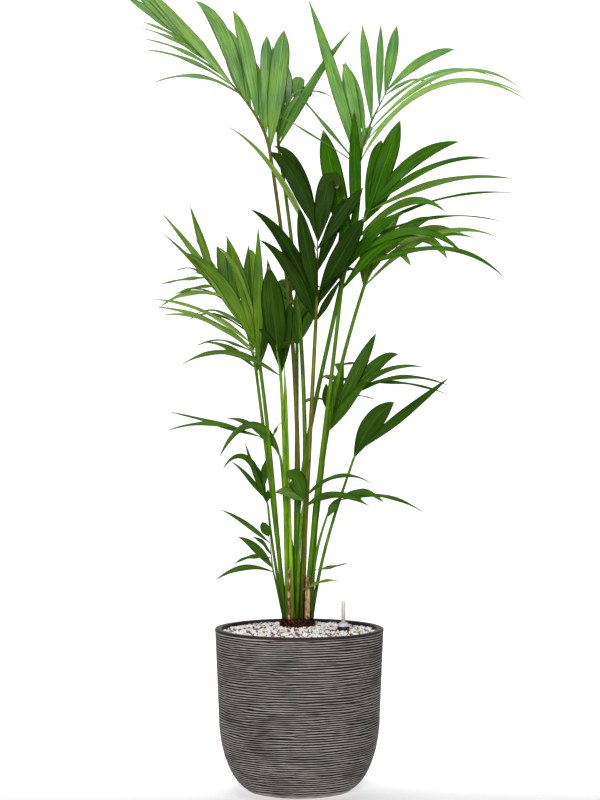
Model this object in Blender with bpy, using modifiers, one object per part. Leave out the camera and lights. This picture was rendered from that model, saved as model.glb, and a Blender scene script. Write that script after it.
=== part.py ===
"""Kentia palm in a round ribbed planter: a clump of slender leaf stalks, each carrying one feathered frond.

Metres, +Z up. The origin is the middle of the planter's flat underside, and -Y is the side that is looked at.
A frond is a stalk (one tapering limb) and a blade (rib and leaflets in one solid). Its leaflets stand in ranks.
Along a rank direction, length and droop change evenly, with a little seeded chance. A lone leaflet is aimed at
its own tip. A leaflet that would touch a neighbour is turned a little or shortened, and left out where that
doesn't help.
"""

import math
import random
from dataclasses import dataclass

import bmesh
import bpy
from mathutils import Quaternion, Vector
from mathutils.bvhtree import BVHTree

UP = Vector((0.0, 0.0, 1.0))

# Planter
POT_HEIGHT = 0.410
POT_RIM_RADIUS = 0.2160
POT_WAIST_RADIUS = 0.2067  # where the straight side meets the round belly
POT_WAIST_HEIGHT = 0.187
POT_BELLY_CENTRE = 0.122  # radius at which the belly's rounded quarter is centred
POT_BELLY_POWER = 1.9  # 2 would be a quarter of an ellipse
POT_BELLY_POINTS = 7
POT_FOOT_RADIUS = 0.134
POT_FOOT_EDGE = 0.004
POT_WALL = 0.018
POT_FLOOR = 0.022
POT_LIP = 0.003  # rounding of the rim
POT_STEPS = 40

# Mineral granules that fill it, heaped a little in the middle
GRANULE_EDGE_HEIGHT = 0.3985
GRANULE_CROWN_HEIGHT = 0.4120
GRANULE_FLAT_RADIUS = 0.055

# Root crown, the brown fibrous lump that the stalks stand on
CROWN_AT = (-0.004, 0.0)
CROWN_RADIUS = 0.0445
CROWN_TOP_RADIUS = 0.0425
CROWN_TOP = 0.436
CROWN_LOBES = 7
CROWN_LOBE_DEPTH = 0.04
CROWN_SIDES = 28

# Water gauge
GAUGE_AT = (0.112, -0.036)
GAUGE_FOOT = 0.4025
GAUGE_BASE_RADIUS = 0.0155
GAUGE_BASE_HEIGHT = 0.0150
GAUGE_DOME_HEIGHT = 0.0110
GAUGE_DOME_POINTS = 5
GAUGE_STEP = 0.0010  # how far the dome stands back from the base's edge
GAUGE_COLLAR = 0.0006  # width of the dome's flat top around the tube
GAUGE_TUBE_RADIUS = 0.0054
GAUGE_TUBE_WALL = 0.0012
GAUGE_TUBE_LENGTH = 0.0532
GAUGE_FLOAT_RADIUS = 0.0034
GAUGE_FLOAT_HEIGHT = 0.0040
GAUGE_STEPS = 20

# Stalks and blades
STALK_STEPS = 10
STEM_STEPS = 6
STALK_HEEL = 0.008  # the lowest bit of a stalk, which stands upright on the root crown
STALK_FOOT_RADIUS = 0.0060
STALK_KNEE_RADIUS = 0.0046
THIN_KNEE_HEIGHT = 0.45  # stalks that reach no higher have the least share of the full thickness
FULL_KNEE_HEIGHT = 1.15  # stalks that reach this high have the full thickness
THIN_SHARE = 0.46
STALK_LOWER = 0.40  # shares of the rise at which the stalk's two middle control points lie
STALK_UPPER = 0.36
RIB_STEPS = 6
RIB_START = 0.33  # shares of the rib's chord at which its two middle control points lie
RIB_SHOULDER = 0.67
RIB_TIP_RADIUS = 0.0014
ROOT_CLEAR = 0.0090  # the first leaflet leaves the rib this far beyond the knee
BLADE_STATIONS = (0.0, 0.30, 0.60, 0.84)  # shares of a leaflet's length that get a cross-section
BLADE_POINT_POWER = 1.8  # how full a leaflet stays towards its point
BLADE_ROOT_SHARE = 0.12  # width at the root, as a share of the widest
BLADE_FOLD = 0.14  # drop of the edges below the midrib, as a share of half the width
OUTER_STATIONS = (0.25, 0.40, 0.60, 0.84)  # the part of a leaflet that stays clear of its neighbours
THICKNESS_SHARE = 0.0105  # leaflet thickness over length
LEAST_THICKNESS = 0.0022

# Chance, as the widest share or turn either way
CHANCE_WAY = 0.05
CHANCE_LENGTH = 0.05
CHANCE_WIDTH = 0.08
CHANCE_DROOP = 0.15
CHANCE_TWIST = 12.0  # degrees
CHANCE_LONE = 0.25  # share of all this chance that a leaflet which is a rank of its own gets

AIM_ROUNDS = 40  # steps in which a lone leaflet is aimed at its tip
AIM_SHARE = 0.6  # share of what is left to the tip that each step mends

FIT = 0.0003  # gap between solids that rest on each other
CLEARANCE = 0.0009  # gap between leaflets of different fronds
WELD = 0.00001  # points this close are one
UNION_SOLVER = "MANIFOLD"

# Colours
PLANTER_GREY = (0.035, 0.033, 0.032)
GRANULE_WHITE = (0.55, 0.52, 0.50)
CROWN_BROWN = (0.045, 0.022, 0.012)
SHEATH_BROWN = (0.30, 0.17, 0.09)
STALK_GREEN = (0.12, 0.25, 0.02)
SPEAR_GREEN = (0.45, 0.55, 0.03)
BLADE_GREEN = (0.05, 0.15, 0.015)
GAUGE_DARK = (0.06, 0.045, 0.055)
GAUGE_CLEAR = (0.80, 0.80, 0.82)
FLOAT_RED = (0.55, 0.03, 0.02)


@dataclass
class Rank:
    """Leaflets along one side of a rib, from first to last. Directions are (right, away, up), of any length."""

    count: int
    first: tuple
    last: tuple
    length: tuple  # metres, for the first leaflet, halfway and the last
    droop: tuple  # how far gravity bends the first and the last leaflet
    width: float
    faces: tuple = (0.0, -0.5, 1.0)  # where the upper faces look
    span: tuple = (0.0, 0.98)  # shares of the rib between which the leaflets stand
    sag: float = 1.5  # power of the length with which a leaflet bends: the higher, the nearer its tip
    widest: float = 0.40  # share of the length at which a leaflet is widest
    tip: tuple = ()  # (x, y, z) where a lone leaflet ends, which then decides its direction and length


@dataclass
class Frond:
    """One leaf of the palm. Positions are in metres."""

    name: str
    foot: tuple  # (x, y) on top of the root crown
    knee: tuple  # (x, y, z) where the leaflets begin
    tip: tuple  # (x, y, z) where the rib ends
    seed: int
    ranks: list
    aim: tuple = (0.0, 0.0, 1.0)  # direction of the stalk where it becomes the rib
    bend: tuple = (0.0, 0.0)  # (x, y) by which the stalk's lower part stands off the straight line
    arch: float = 0.10  # bow of the rib, as a share of its length
    swell: float = 0.08  # how much thicker the stalk is halfway up than an even taper


@dataclass
class Stem:
    """A stem without leaflets: the remains of an old leaf, or a new leaf that is still furled."""

    name: str
    foot: tuple
    top: tuple
    foot_radius: float
    top_radius: float
    colour: tuple
    bend: tuple = (0.0, 0.0)


SKY = (0.0, 0.0, 1.0)
TILTED = (0.0, -0.7, 0.85)
FRONT = (0.0, -1.0, 0.3)


def lone(at, tip, droop, width, faces=FRONT, sag=1.5, widest=0.40):
    """A rank of one leaflet, which leaves the rib at this share of its length and ends at tip (x, y, z)."""
    return Rank(1, tip, tip, (0.0,) * 3, (droop,) * 2, width, faces, (at, at), sag, widest, tip)


FRONDS = [
    Frond("crest_left", (-0.0049, 0.0216), (-0.076, 0.080, 1.636), (-0.287, 0.130, 1.939), 3, [
        lone(0.02, (-0.041, 0.034, 1.947), 0.10, 0.050, widest=0.62),
        lone(0.13, (-0.083, 0.054, 1.936), 0.15, 0.034, widest=0.64),
        lone(0.27, (-0.170, 0.049, 2.001), 0.78, 0.038, widest=0.56),
        lone(0.42, (-0.270, 0.072, 2.030), 0.80, 0.042, widest=0.52),
        lone(0.36, (-0.191, 0.154, 1.975), 0.50, 0.036, widest=0.60),
        lone(0.18, (-0.117, 0.145, 1.886), 0.20, 0.030, widest=0.60),
        lone(0.56, (-0.411, 0.065, 2.082), 0.12, 0.031, widest=0.45),
        lone(0.68, (-0.432, 0.098, 2.087), 0.15, 0.030, widest=0.45),
        lone(0.82, (-0.447, 0.121, 2.079), 0.15, 0.028, widest=0.45),
        lone(0.98, (-0.467, 0.140, 2.067), 0.12, 0.026, widest=0.45),
        lone(0.48, (-0.383, 0.072, 1.814), 1.05, 0.018, TILTED, sag=0.9),
        lone(0.55, (-0.406, 0.071, 1.902), 0.62, 0.016, TILTED, sag=1),
        lone(0.64, (-0.410, 0.089, 1.936), 0.55, 0.016, TILTED, sag=1),
        lone(0.74, (-0.417, 0.106, 1.966), 0.50, 0.016, TILTED, sag=1),
        lone(0.84, (-0.421, 0.122, 1.992), 0.45, 0.016, TILTED, sag=1),
        Rank(3, (-0.05, 0.60, 1.0), (-0.45, 0.50, 0.80), (0.24, 0.25, 0.24), (0.30, 0.45), 0.034, FRONT, (0.15, 0.75)),
    ], aim=(-0.155, 0.10, 1.0), bend=(0.038, -0.010), arch=0.03),
    Frond("crest_back", (0.0027, 0.0348), (-0.054, 0.170, 1.658), (0.010, 0.400, 1.840), 5, [
        lone(0.0, (0.142, 0.207, 1.984), 0.42, 0.026, (0.4, -0.6, 0.8)),
        lone(0.08, (0.031, 0.238, 1.825), 0.85, 0.028, widest=0.50),
        lone(0.32, (0.050, 0.255, 1.798), 1.35, 0.022, SKY, sag=1),
        lone(0.72, (0.101, 0.358, 1.814), 1.40, 0.016, SKY, sag=1),
        Rank(5, (-0.15, 0.30, 0.95), (0.10, 0.90, 0.50), (0.22, 0.27, 0.20), (0.30, 1.0), 0.038, FRONT, (0.15, 0.98)),
    ], aim=(-0.15, 0.20, 1.0), bend=(0.050, -0.020), arch=0.12),
    Frond("crest_right", (-0.0095, -0.0055), (0.153, 0.030, 1.589), (0.234, 0.160, 1.816), 7, [
        lone(0.0, (0.022, -0.016, 2.016), 0.25, 0.035, widest=0.46),
        lone(0.16, (0.118, 0.046, 1.866), 0.22, 0.036, widest=0.62),
        lone(0.34, (0.112, 0.106, 1.874), 0.80, 0.030, widest=0.55),
        lone(0.54, (0.168, 0.126, 1.978), 0.08, 0.029, widest=0.52),
        lone(0.75, (0.214, 0.160, 1.986), 0.05, 0.021, widest=0.50),
        lone(0.92, (0.259, 0.187, 1.988), 0.03, 0.032, widest=0.55),
        lone(0.98, (0.411, 0.157, 1.919), 0.65, 0.026, sag=1.3, widest=0.55),
        lone(0.05, (0.588, -0.020, 1.755), 1.25, 0.018, TILTED, sag=0.75),
        lone(0.25, (0.590, 0.041, 1.770), 1.25, 0.016, TILTED, sag=1.2),
        lone(0.38, (0.590, 0.079, 1.792), 1.35, 0.016, TILTED),
        lone(0.62, (0.535, 0.128, 1.828), 1.15, 0.014, TILTED, sag=1.2),
        lone(0.0, (-0.041, -0.093, 1.807), 0.04, 0.018, SKY),
        lone(0.03, (-0.069, -0.073, 1.722), 0.10, 0.011, SKY),
        Rank(2, (0.10, 0.90, 0.60), (0.50, 0.70, 0.60), (0.28, 0.27, 0.26), (0.7, 0.9), 0.026, SKY, (0.2, 0.9)),
    ], aim=(0.09, 0.04, 1.0), bend=(-0.083, -0.006), arch=0.04),
    Frond("centre_front", (0.0038, -0.0179), (0.041, -0.090, 1.181), (0.047, -0.050, 1.429), 9, [
        lone(0.14, (-0.122, -0.162, 1.468), 0.80, 0.040, sag=1.2, widest=0.42),
        lone(0.04, (-0.098, -0.176, 1.390), 0.72, 0.034, widest=0.42),
        lone(0.25, (-0.009, -0.152, 1.472), 0.0, 0.040, widest=0.50),
        lone(0.75, (-0.185, -0.139, 1.677), 0.73, 0.016, sag=1.2),
        lone(0.97, (-0.080, -0.086, 1.615), 0.87, 0.046, sag=2, widest=0.50),
        lone(0.87, (-0.067, -0.029, 1.637), 1.00, 0.036, widest=0.55),
        lone(0.86, (0.095, -0.070, 1.528), 2.20, 0.050, sag=5, widest=0.62),
        lone(0.20, (0.160, -0.158, 1.446), 0.28, 0.052, widest=0.55),
        lone(0.78, (0.160, -0.078, 1.529), 0.05, 0.033, widest=0.56),
        lone(0.04, (0.104, -0.139, 1.296), 0.10, 0.018),
        lone(0.55, (0.116, -0.027, 1.512), 0.15, 0.036, widest=0.52),
        Rank(2, (0.45, -0.75, 0.60), (-0.45, -0.75, 0.60), (0.20, 0.20, 0.20), (0.9, 0.9), 0.028, TILTED, (0.30, 0.60)),
    ], aim=(0.05, -0.05, 1.0), arch=0.0),
    Frond("centre_right", (0.0167, -0.0037), (0.104, -0.030, 1.248), (0.186, 0.040, 1.496), 11, [
        lone(0.95, (0.262, 0.037, 1.715), 0.05, 0.052, widest=0.52),
        lone(0.88, (0.212, 0.081, 1.670), 0.10, 0.044, widest=0.62),
        lone(0.42, (0.065, 0.068, 1.696), 0.05, 0.057, widest=0.58),
        lone(0.60, (0.126, 0.029, 1.737), 0.02, 0.034, widest=0.50),
        lone(0.98, (0.409, 0.010, 1.662), 0.75, 0.034, sag=1.2, widest=0.50),
        lone(0.97, (0.493, -0.003, 1.608), 0.82, 0.024, TILTED, sag=1.4),
        lone(0.93, (0.547, -0.042, 1.551), 0.70, 0.028, TILTED, sag=1.3, widest=0.45),
        lone(0.62, (0.371, -0.056, 1.466), 1.42, 0.031, TILTED, sag=2, widest=0.45),
        lone(0.40, (0.410, -0.101, 1.361), 1.50, 0.034, TILTED, sag=1.6, widest=0.45),
        lone(0.28, (0.516, -0.152, 1.288), 1.40, 0.025, TILTED, sag=2.2),
        lone(0.66, (0.592, 0.125, 1.534), 0.62, 0.014, TILTED, sag=1.2),
        lone(0.55, (0.556, 0.109, 1.451), 0.75, 0.014, TILTED, sag=1.2),
        lone(0.10, (0.304, -0.071, 1.407), 0.95, 0.034, TILTED, widest=0.45),
        lone(0.30, (0.276, -0.030, 1.466), 0.80, 0.036, TILTED, widest=0.48),
        lone(0.08, (0.136, 0.043, 1.496), 0.10, 0.034, widest=0.52),
        Rank(2, (0.10, 0.60, 0.90), (0.40, 0.60, 0.80), (0.28, 0.27, 0.26), (0.30, 0.50), 0.040, FRONT, (0.25, 0.80)),
    ], aim=(0.11, 0.0, 1.0), bend=(-0.010, 0.0), arch=0.05),
    Frond("right_mid", (0.0307, 0.0074), (0.165, 0.070, 1.279), (0.264, 0.130, 1.405), 13, [
        lone(0.02, (0.520, 0.014, 1.406), 1.14, 0.024, TILTED, sag=1.3),
        lone(0.50, (0.460, 0.087, 1.412), 0.95, 0.024, TILTED),
        lone(0.98, (0.388, 0.102, 1.361), 2.10, 0.032, TILTED, sag=1.3, widest=0.45),
        lone(0.92, (0.292, 0.106, 1.343), 0.60, 0.022, TILTED),
        lone(0.05, (0.174, 0.085, 1.410), 0.05, 0.032, widest=0.55),
        lone(0.30, (0.224, 0.101, 1.421), 0.10, 0.034, widest=0.55),
        Rank(4, (0.05, 0.55, 0.90), (0.75, 0.50, 0.60), (0.20, 0.24, 0.22), (0.4, 0.9), 0.034, FRONT, (0.15, 0.95)),
    ], aim=(0.32, 0.10, 1.0), bend=(-0.045, 0.0), arch=0.12),
    Frond("left_mid", (-0.0373, -0.0121), (-0.102, -0.050, 1.095), (-0.220, -0.090, 1.310), 15, [
        lone(0.98, (-0.276, -0.108, 1.481), 0.05, 0.021, widest=0.36),
        lone(0.20, (-0.347, -0.138, 1.461), 0.26, 0.024, widest=0.36),
        lone(0.10, (-0.295, -0.149, 1.363), 0.84, 0.032, sag=1, widest=0.42),
        lone(0.14, (-0.261, -0.071, 1.404), 0.10, 0.024, widest=0.42),
        lone(0.30, (-0.345, -0.095, 1.417), 0.30, 0.015),
        lone(0.06, (-0.210, -0.096, 1.377), 0.89, 0.026, widest=0.42),
        lone(0.03, (-0.185, -0.035, 1.414), 0.60, 0.030, widest=0.50),
        lone(0.0, (-0.102, -0.118, 1.428), 0.03, 0.029, widest=0.42),
        lone(0.05, (-0.135, 0.034, 1.356), 1.20, 0.028, widest=0.45),
        lone(0.12, (-0.176, -0.114, 1.345), 0.50, 0.017),
        lone(0.95, (-0.355, -0.095, 1.282), 0.38, 0.014, TILTED, sag=1),
        lone(0.85, (-0.327, -0.103, 1.251), 0.70, 0.015, TILTED, sag=1),
        lone(0.72, (-0.351, -0.112, 1.223), 1.15, 0.017, TILTED),
        lone(0.12, (-0.371, -0.142, 1.244), 0.70, 0.017, TILTED, sag=0.9),
        lone(0.08, (-0.370, -0.096, 1.226), 0.62, 0.018, TILTED, sag=1.1),
        lone(0.04, (-0.351, -0.147, 1.202), 0.85, 0.016, TILTED),
        Rank(2, (-0.60, 0.60, 0.60), (-0.50, 0.70, 0.60), (0.24, 0.23, 0.22), (0.9, 0.9), 0.024, SKY, (0.30, 0.80)),
    ], aim=(-0.14, -0.05, 1.0), arch=0.03),
    Frond("left_back", (-0.0340, 0.0188), (-0.110, 0.050, 1.055), (-0.189, 0.160, 1.284), 17, [
        lone(0.08, (-0.249, 0.066, 1.143), 0.75, 0.020, TILTED),
        Rank(4, (-0.70, 0.60, 0.45), (-0.50, 0.70, 0.60), (0.20, 0.25, 0.20), (0.9, 0.6), 0.024, SKY, (0.25, 0.95)),
        Rank(5, (0.15, 0.35, 1.0), (-0.20, 0.60, 0.80), (0.26, 0.28, 0.22), (0.2, 0.5), 0.034, FRONT),
    ], aim=(-0.13, 0.06, 1.0), arch=0.08),
    Frond("left_front", (-0.0290, -0.0250), (-0.046, -0.100, 1.043), (-0.058, -0.160, 1.129), 19, [
        lone(0.10, (-0.294, -0.156, 1.077), 1.15, 0.023, TILTED, sag=1.3, widest=0.42),
        lone(0.40, (-0.075, -0.149, 1.326), 0.03, 0.060, widest=0.52),
        lone(0.18, (-0.081, -0.082, 1.348), 0.05, 0.026, widest=0.56),
        lone(0.12, (-0.021, -0.078, 1.245), 0.20, 0.030, widest=0.50),
        lone(0.85, (-0.101, -0.206, 1.165), 0.80, 0.024, TILTED, widest=0.42),
        lone(0.85, (-0.018, -0.186, 1.136), 0.90, 0.024, TILTED, widest=0.42),
    ], aim=(-0.06, -0.20, 1.0), arch=0.0, swell=0.25),
    Frond("right_low_back", (0.0257, 0.0193), (0.069, 0.050, 0.900), (0.164, 0.100, 1.040), 21, [
        lone(0.35, (0.201, 0.068, 1.167), 0.05, 0.035, widest=0.50),
        lone(0.55, (0.259, 0.078, 1.110), 0.90, 0.034, sag=4, widest=0.55),
        lone(0.30, (0.320, 0.012, 1.075), 0.95, 0.020, TILTED, sag=0.9),
        lone(0.62, (0.389, 0.041, 1.039), 0.98, 0.016, TILTED, sag=0.8),
        lone(0.96, (0.399, 0.074, 1.003), 0.62, 0.014, TILTED, sag=1),
        lone(0.02, (0.179, 0.033, 1.046), 0.35, 0.028, widest=0.45),
        Rank(3, (0.10, 0.60, 0.80), (0.45, 0.70, 0.60), (0.22, 0.22, 0.20), (0.5, 0.7), 0.032, FRONT, (0.25, 0.95)),
    ], aim=(0.22, 0.12, 1.0), bend=(-0.012, 0.005), arch=0.05),
    Frond("right_pair", (0.0333, -0.0040), (0.138, 0.0, 0.840), (0.147, 0.004, 0.862), 23, [
        lone(0.0, (0.243, 0.009, 0.990), 0.70, 0.052, sag=1, widest=0.52),
        lone(0.98, (0.384, -0.026, 1.049), 0.04, 0.027, widest=0.45),
    ], aim=(0.34, 0.0, 1.0), bend=(-0.020, 0.0), arch=0.0),
    Frond("right_low", (0.0314, -0.0143), (0.071, -0.060, 0.702), (0.105, -0.080, 0.749), 25, [
        lone(0.98, (0.212, -0.102, 0.735), 1.40, 0.021, TILTED, sag=1.3, widest=0.42),
        lone(0.70, (0.319, -0.085, 0.703), 1.10, 0.014, TILTED, sag=1.2),
        lone(0.93, (0.071, -0.096, 0.699), 0.80, 0.025, TILTED, widest=0.45),
        lone(0.90, (0.156, -0.146, 0.745), 1.00, 0.018, TILTED, widest=0.42),
    ], aim=(0.36, -0.10, 1.0), bend=(-0.015, 0.0), arch=0.10),
    Frond("centre_low", (-0.0062, -0.0362), (0.007, -0.110, 0.711), (0.012, -0.130, 0.749), 27, [
        lone(0.80, (-0.061, -0.141, 0.762), 1.00, 0.034, TILTED, sag=0.8, widest=0.42),
        lone(0.98, (-0.026, -0.136, 0.794), 2.00, 0.046, sag=4, widest=0.60),
        lone(0.20, (0.175, -0.156, 0.728), 1.20, 0.021, TILTED, sag=0.7, widest=0.42),
        lone(0.98, (0.182, -0.147, 0.782), 1.25, 0.014, TILTED, sag=1),
    ], aim=(0.10, -0.30, 1.0), arch=0.0),
    Frond("left_low", (-0.0414, 0.0079), (-0.080, 0.030, 0.714), (-0.097, 0.050, 0.760), 29, [
        lone(0.20, (-0.141, 0.034, 0.887), -0.45, 0.014),
        lone(0.50, (-0.173, 0.020, 0.839), 0.50, 0.014, sag=3),
        lone(0.90, (-0.196, 0.019, 0.811), 1.37, 0.018, TILTED, sag=0.8, widest=0.42),
        lone(0.30, (-0.073, 0.032, 0.764), 0.20, 0.014),
        Rank(2, (-0.20, 0.60, 0.80), (0.10, 0.60, 0.80), (0.18, 0.17, 0.16), (0.9, 0.9), 0.022, FRONT, (0.5, 0.98)),
    ], aim=(-0.08, 0.06, 1.0), arch=0.0),
    Frond("left_arch", (-0.0238, 0.0293), (-0.047, 0.0, 0.836), (-0.137, 0.020, 0.913), 31, [
        lone(0.0, (-0.202, -0.031, 0.843), 1.55, 0.020, TILTED, sag=0.6, widest=0.42),
        lone(0.30, (-0.189, -0.030, 0.943), 0.88, 0.020, TILTED, sag=0.8),
        lone(0.72, (-0.339, 0.038, 0.963), 0.17, 0.020, TILTED),
        lone(0.98, (-0.343, -0.012, 0.914), 0.74, 0.016, TILTED, sag=1),
        lone(0.45, (-0.042, 0.025, 0.936), 0.90, 0.012, SKY),
        Rank(1, (-0.50, 0.65, 0.60), (-0.50, 0.65, 0.60), (0.17, 0.17, 0.17), (0.8, 0.8), 0.018, SKY, (0.60, 0.60)),
    ], aim=(-0.10, -0.05, 1.0), arch=0.14),
    Frond("left_lowest", (-0.0421, -0.0020), (-0.064, -0.030, 0.547), (-0.078, -0.050, 0.652), 35, [
        lone(0.08, (-0.213, -0.062, 0.537), 1.08, 0.018, TILTED, sag=1, widest=0.42),
        lone(0.18, (-0.157, -0.046, 0.647), 0.62, 0.023, widest=0.45),
        lone(0.42, (-0.169, -0.069, 0.575), 1.05, 0.014, TILTED),
        lone(0.78, (-0.202, -0.046, 0.715), 0.40, 0.014),
        lone(0.95, (-0.095, -0.055, 0.684), 0.05, 0.024, widest=0.52),
        Rank(1, (-0.40, 0.60, 0.60), (-0.40, 0.60, 0.60), (0.12, 0.12, 0.12), (0.9, 0.9), 0.016, SKY, (0.50, 0.50)),
    ], aim=(-0.25, -0.15, 1.0), arch=0.05),
    Frond("back_mid", (-0.0107, 0.0348), (-0.006, 0.130, 1.119), (-0.022, 0.270, 1.290), 36, [
        lone(0.90, (-0.064, 0.251, 1.305), 1.20, 0.016, sag=1),
        lone(0.05, (-0.006, 0.115, 1.276), 0.10, 0.026, widest=0.45),
        Rank(4, (-0.40, 0.60, 0.80), (-0.20, 0.90, 0.50), (0.25, 0.26, 0.20), (0.7, 1.0), 0.034, FRONT, (0.10, 0.98)),
        Rank(4, (0.30, 0.65, 0.80), (0.30, 0.90, 0.50), (0.25, 0.26, 0.20), (0.7, 1.0), 0.034, FRONT, (0.10, 0.98)),
    ], aim=(0.0, 0.30, 1.0), arch=0.12),
    Frond("back_low", (0.0158, 0.0293), (0.072, 0.130, 0.960), (0.120, 0.240, 1.090), 37, [
        lone(0.03, (0.070, 0.133, 1.038), 0.20, 0.024, widest=0.45),
        Rank(3, (-0.25, 0.95, 0.15), (-0.05, 0.98, 0.10), (0.24, 0.24, 0.18), (0.4, 0.5), 0.032, SKY, (0.20, 0.98)),
        Rank(3, (0.60, 0.80, 0.20), (0.30, 0.95, 0.10), (0.24, 0.24, 0.18), (0.4, 0.5), 0.032, SKY, (0.20, 0.98)),
    ], aim=(0.05, 0.30, 1.0), arch=0.12),
    Frond("sprout_front", (0.0065, -0.0362), (0.005, -0.050, 0.500), (0.008, -0.056, 0.512), 39, [
        lone(0.98, (0.101, -0.066, 0.536), 0.70, 0.011, TILTED),
        lone(0.0, (-0.029, -0.058, 0.517), 0.50, 0.016, TILTED, widest=0.45),
    ], aim=(-0.10, -0.20, 1.0), arch=0.0),
    Frond("sprout_right", (0.0305, -0.0240), (0.038, -0.051, 0.560), (0.044, -0.056, 0.564), 41, [
        lone(0.98, (0.125, -0.064, 0.581), 0.0, 0.011, TILTED),
    ], aim=(0.40, -0.10, 1.0), arch=0.0),
]

STEMS = [
    Stem("spear", (-0.0165, -0.0345), (-0.0380, -0.049, 1.088), 0.0058, 0.0044, SPEAR_GREEN, (-0.001, 0.006)),
    Stem("old_sheath_right", (0.0195, -0.0300), (0.0215, -0.0450, 0.553), 0.0064, 0.0060, SHEATH_BROWN),
    Stem("old_sheath_left", (-0.0247, 0.0009), (-0.0245, -0.0060, 0.574), 0.0046, 0.0042, SHEATH_BROWN),
    Stem("old_stub", (-0.0229, -0.0133), (-0.0215, -0.0160, 0.512), 0.0036, 0.0030, SHEATH_BROWN),
    Stem("old_chip", (-0.0257, -0.0345), (-0.0267, -0.0545, 0.575), 0.0030, 0.0034, SHEATH_BROWN),
    Stem("inner_stalk_front", (-0.0165, -0.0225), (-0.0175, -0.0270, 0.640), 0.0042, 0.0030, STALK_GREEN),
    Stem("inner_stalk_right", (0.0100, 0.0080), (0.0180, 0.0200, 0.660), 0.0042, 0.0030, STALK_GREEN),
    Stem("inner_stalk_left", (-0.0200, 0.0135), (-0.0190, 0.0160, 0.620), 0.0042, 0.0030, STALK_GREEN),
]


def bezier(points, t):
    """Point on the Bezier curve of these control points."""
    while len(points) > 1:
        points = [a.lerp(b, t) for a, b in zip(points, points[1:])]
    return points[0]


def across(direction, toward):
    """The unit vector square to direction that points most nearly toward."""
    return (toward - direction * toward.dot(direction)).normalized()


def rib_controls(frond):
    """Control points of the rib, which goes on as the stalk ends and arches over to its tip."""
    knee, tip = Vector(frond.knee), Vector(frond.tip)
    chord = tip - knee
    shoulder = knee.lerp(tip, RIB_SHOULDER) + across(chord.normalized(), UP) * frond.arch * chord.length
    return [knee, knee + Vector(frond.aim).normalized() * chord.length * RIB_START, shoulder, tip]


def stalk_controls(frond):
    """Control points of the stalk above its heel."""
    foot, knee = Vector((*frond.foot, CROWN_TOP + FIT + STALK_HEEL)), Vector(frond.knee)
    lower = foot.lerp(knee, STALK_LOWER) + Vector((*frond.bend, 0.0))
    return [foot, lower, knee - Vector(frond.aim).normalized() * (knee.z - foot.z) * STALK_UPPER, knee]


def sampled(controls, steps, start=0.0, end=1.0):
    return [bezier(controls, start + (end - start) * i / steps) for i in range(steps + 1)]


def tapered(start, end, steps):
    return [start + (end - start) * i / steps for i in range(steps + 1)]


def between(values, t):
    """Value at t of a pair (start, end) or of a triple (start, halfway, end)."""
    if len(values) == 2:
        return values[0] + (values[1] - values[0]) * t
    first, middle, last = values
    return first * (1 - t) * (1 - 2 * t) + 4 * middle * t * (1 - t) + last * t * (2 * t - 1)


def stalk_share(frond):
    """Thickness of the stalk as a share of the full one: low fronds have thin stalks."""
    height = (frond.knee[2] - THIN_KNEE_HEIGHT) / (FULL_KNEE_HEIGHT - THIN_KNEE_HEIGHT)
    return THIN_SHARE + (1 - THIN_SHARE) * min(1.0, max(0.0, height))


def stalk_radii(frond):
    """Radii of the stalk from foot to knee: an even taper that swells halfway up."""
    share = stalk_share(frond)
    even = tapered(STALK_FOOT_RADIUS * share, STALK_KNEE_RADIUS * share, STALK_STEPS)
    swell = [1 + frond.swell * 4 * i * (STALK_STEPS - i) / STALK_STEPS**2 for i in range(STALK_STEPS + 1)]
    return [radius * more for radius, more in zip(even, swell)]


def stalk_points(frond):
    """The stalk's middle line, from the root crown up to the knee."""
    above = sampled(stalk_controls(frond), STALK_STEPS - 1)
    return [above[0] - UP * STALK_HEEL] + above


def rib_radii(frond):
    return tapered(STALK_KNEE_RADIUS * stalk_share(frond), RIB_TIP_RADIUS * stalk_share(frond), RIB_STEPS)


def stem_points(stem):
    foot, top = Vector((*stem.foot, CROWN_TOP + FIT + STALK_HEEL)), Vector(stem.top)
    middle = foot.lerp(top, 0.5) + Vector((*stem.bend, 0.0))
    return [foot - UP * STALK_HEEL] + sampled([foot, middle, top], STEM_STEPS - 1)


def stem_radii(stem):
    return tapered(stem.foot_radius, stem.top_radius, STEM_STEPS)


def blade_width(u, widest):
    """Width of a leaflet at share u of its length, as a share of its widest."""
    if u < widest:
        swell = math.sin(u / widest * math.pi / 2)
        return BLADE_ROOT_SHARE + (1 - BLADE_ROOT_SHARE) * swell
    return max(0.0, 1 - ((u - widest) / (1 - widest)) ** BLADE_POINT_POWER)


@dataclass
class Leaflet:
    """Centre line, tangents and face normals of one leaflet, at equal steps of its length."""

    points: list
    tangents: list
    normals: list
    length: float
    width: float
    widest: float


def grow_leaflet(root, direction, normal, length, width, droop, rank, steps=12):
    """A leaflet of this rank that leaves root along direction and is bent down by its own weight."""
    points, tangents, normals = [root.copy()], [], []
    for i in range(steps + 1):
        u = i / steps
        tangent = (direction - UP * droop * u**rank.sag).normalized()
        if tangents:
            normal = tangents[-1].rotation_difference(tangent) @ normal
            points.append(points[-1] + (tangents[-1] + tangent) * length / steps / 2)
        tangents.append(tangent)
        normals.append(across(tangent, normal))
    return Leaflet(points, tangents, normals, length, width, rank.widest)


def aimed(root, tip, droop, rank):
    """Direction and length with which a leaflet that bends by droop ends at tip."""
    reach = tip - root
    for _ in range(AIM_ROUNDS):
        leaflet = grow_leaflet(root, reach.normalized(), UP, reach.length, rank.width, droop, rank)
        reach += (tip - leaflet.points[-1]) * AIM_SHARE
    return reach.normalized(), reach.length


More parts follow.
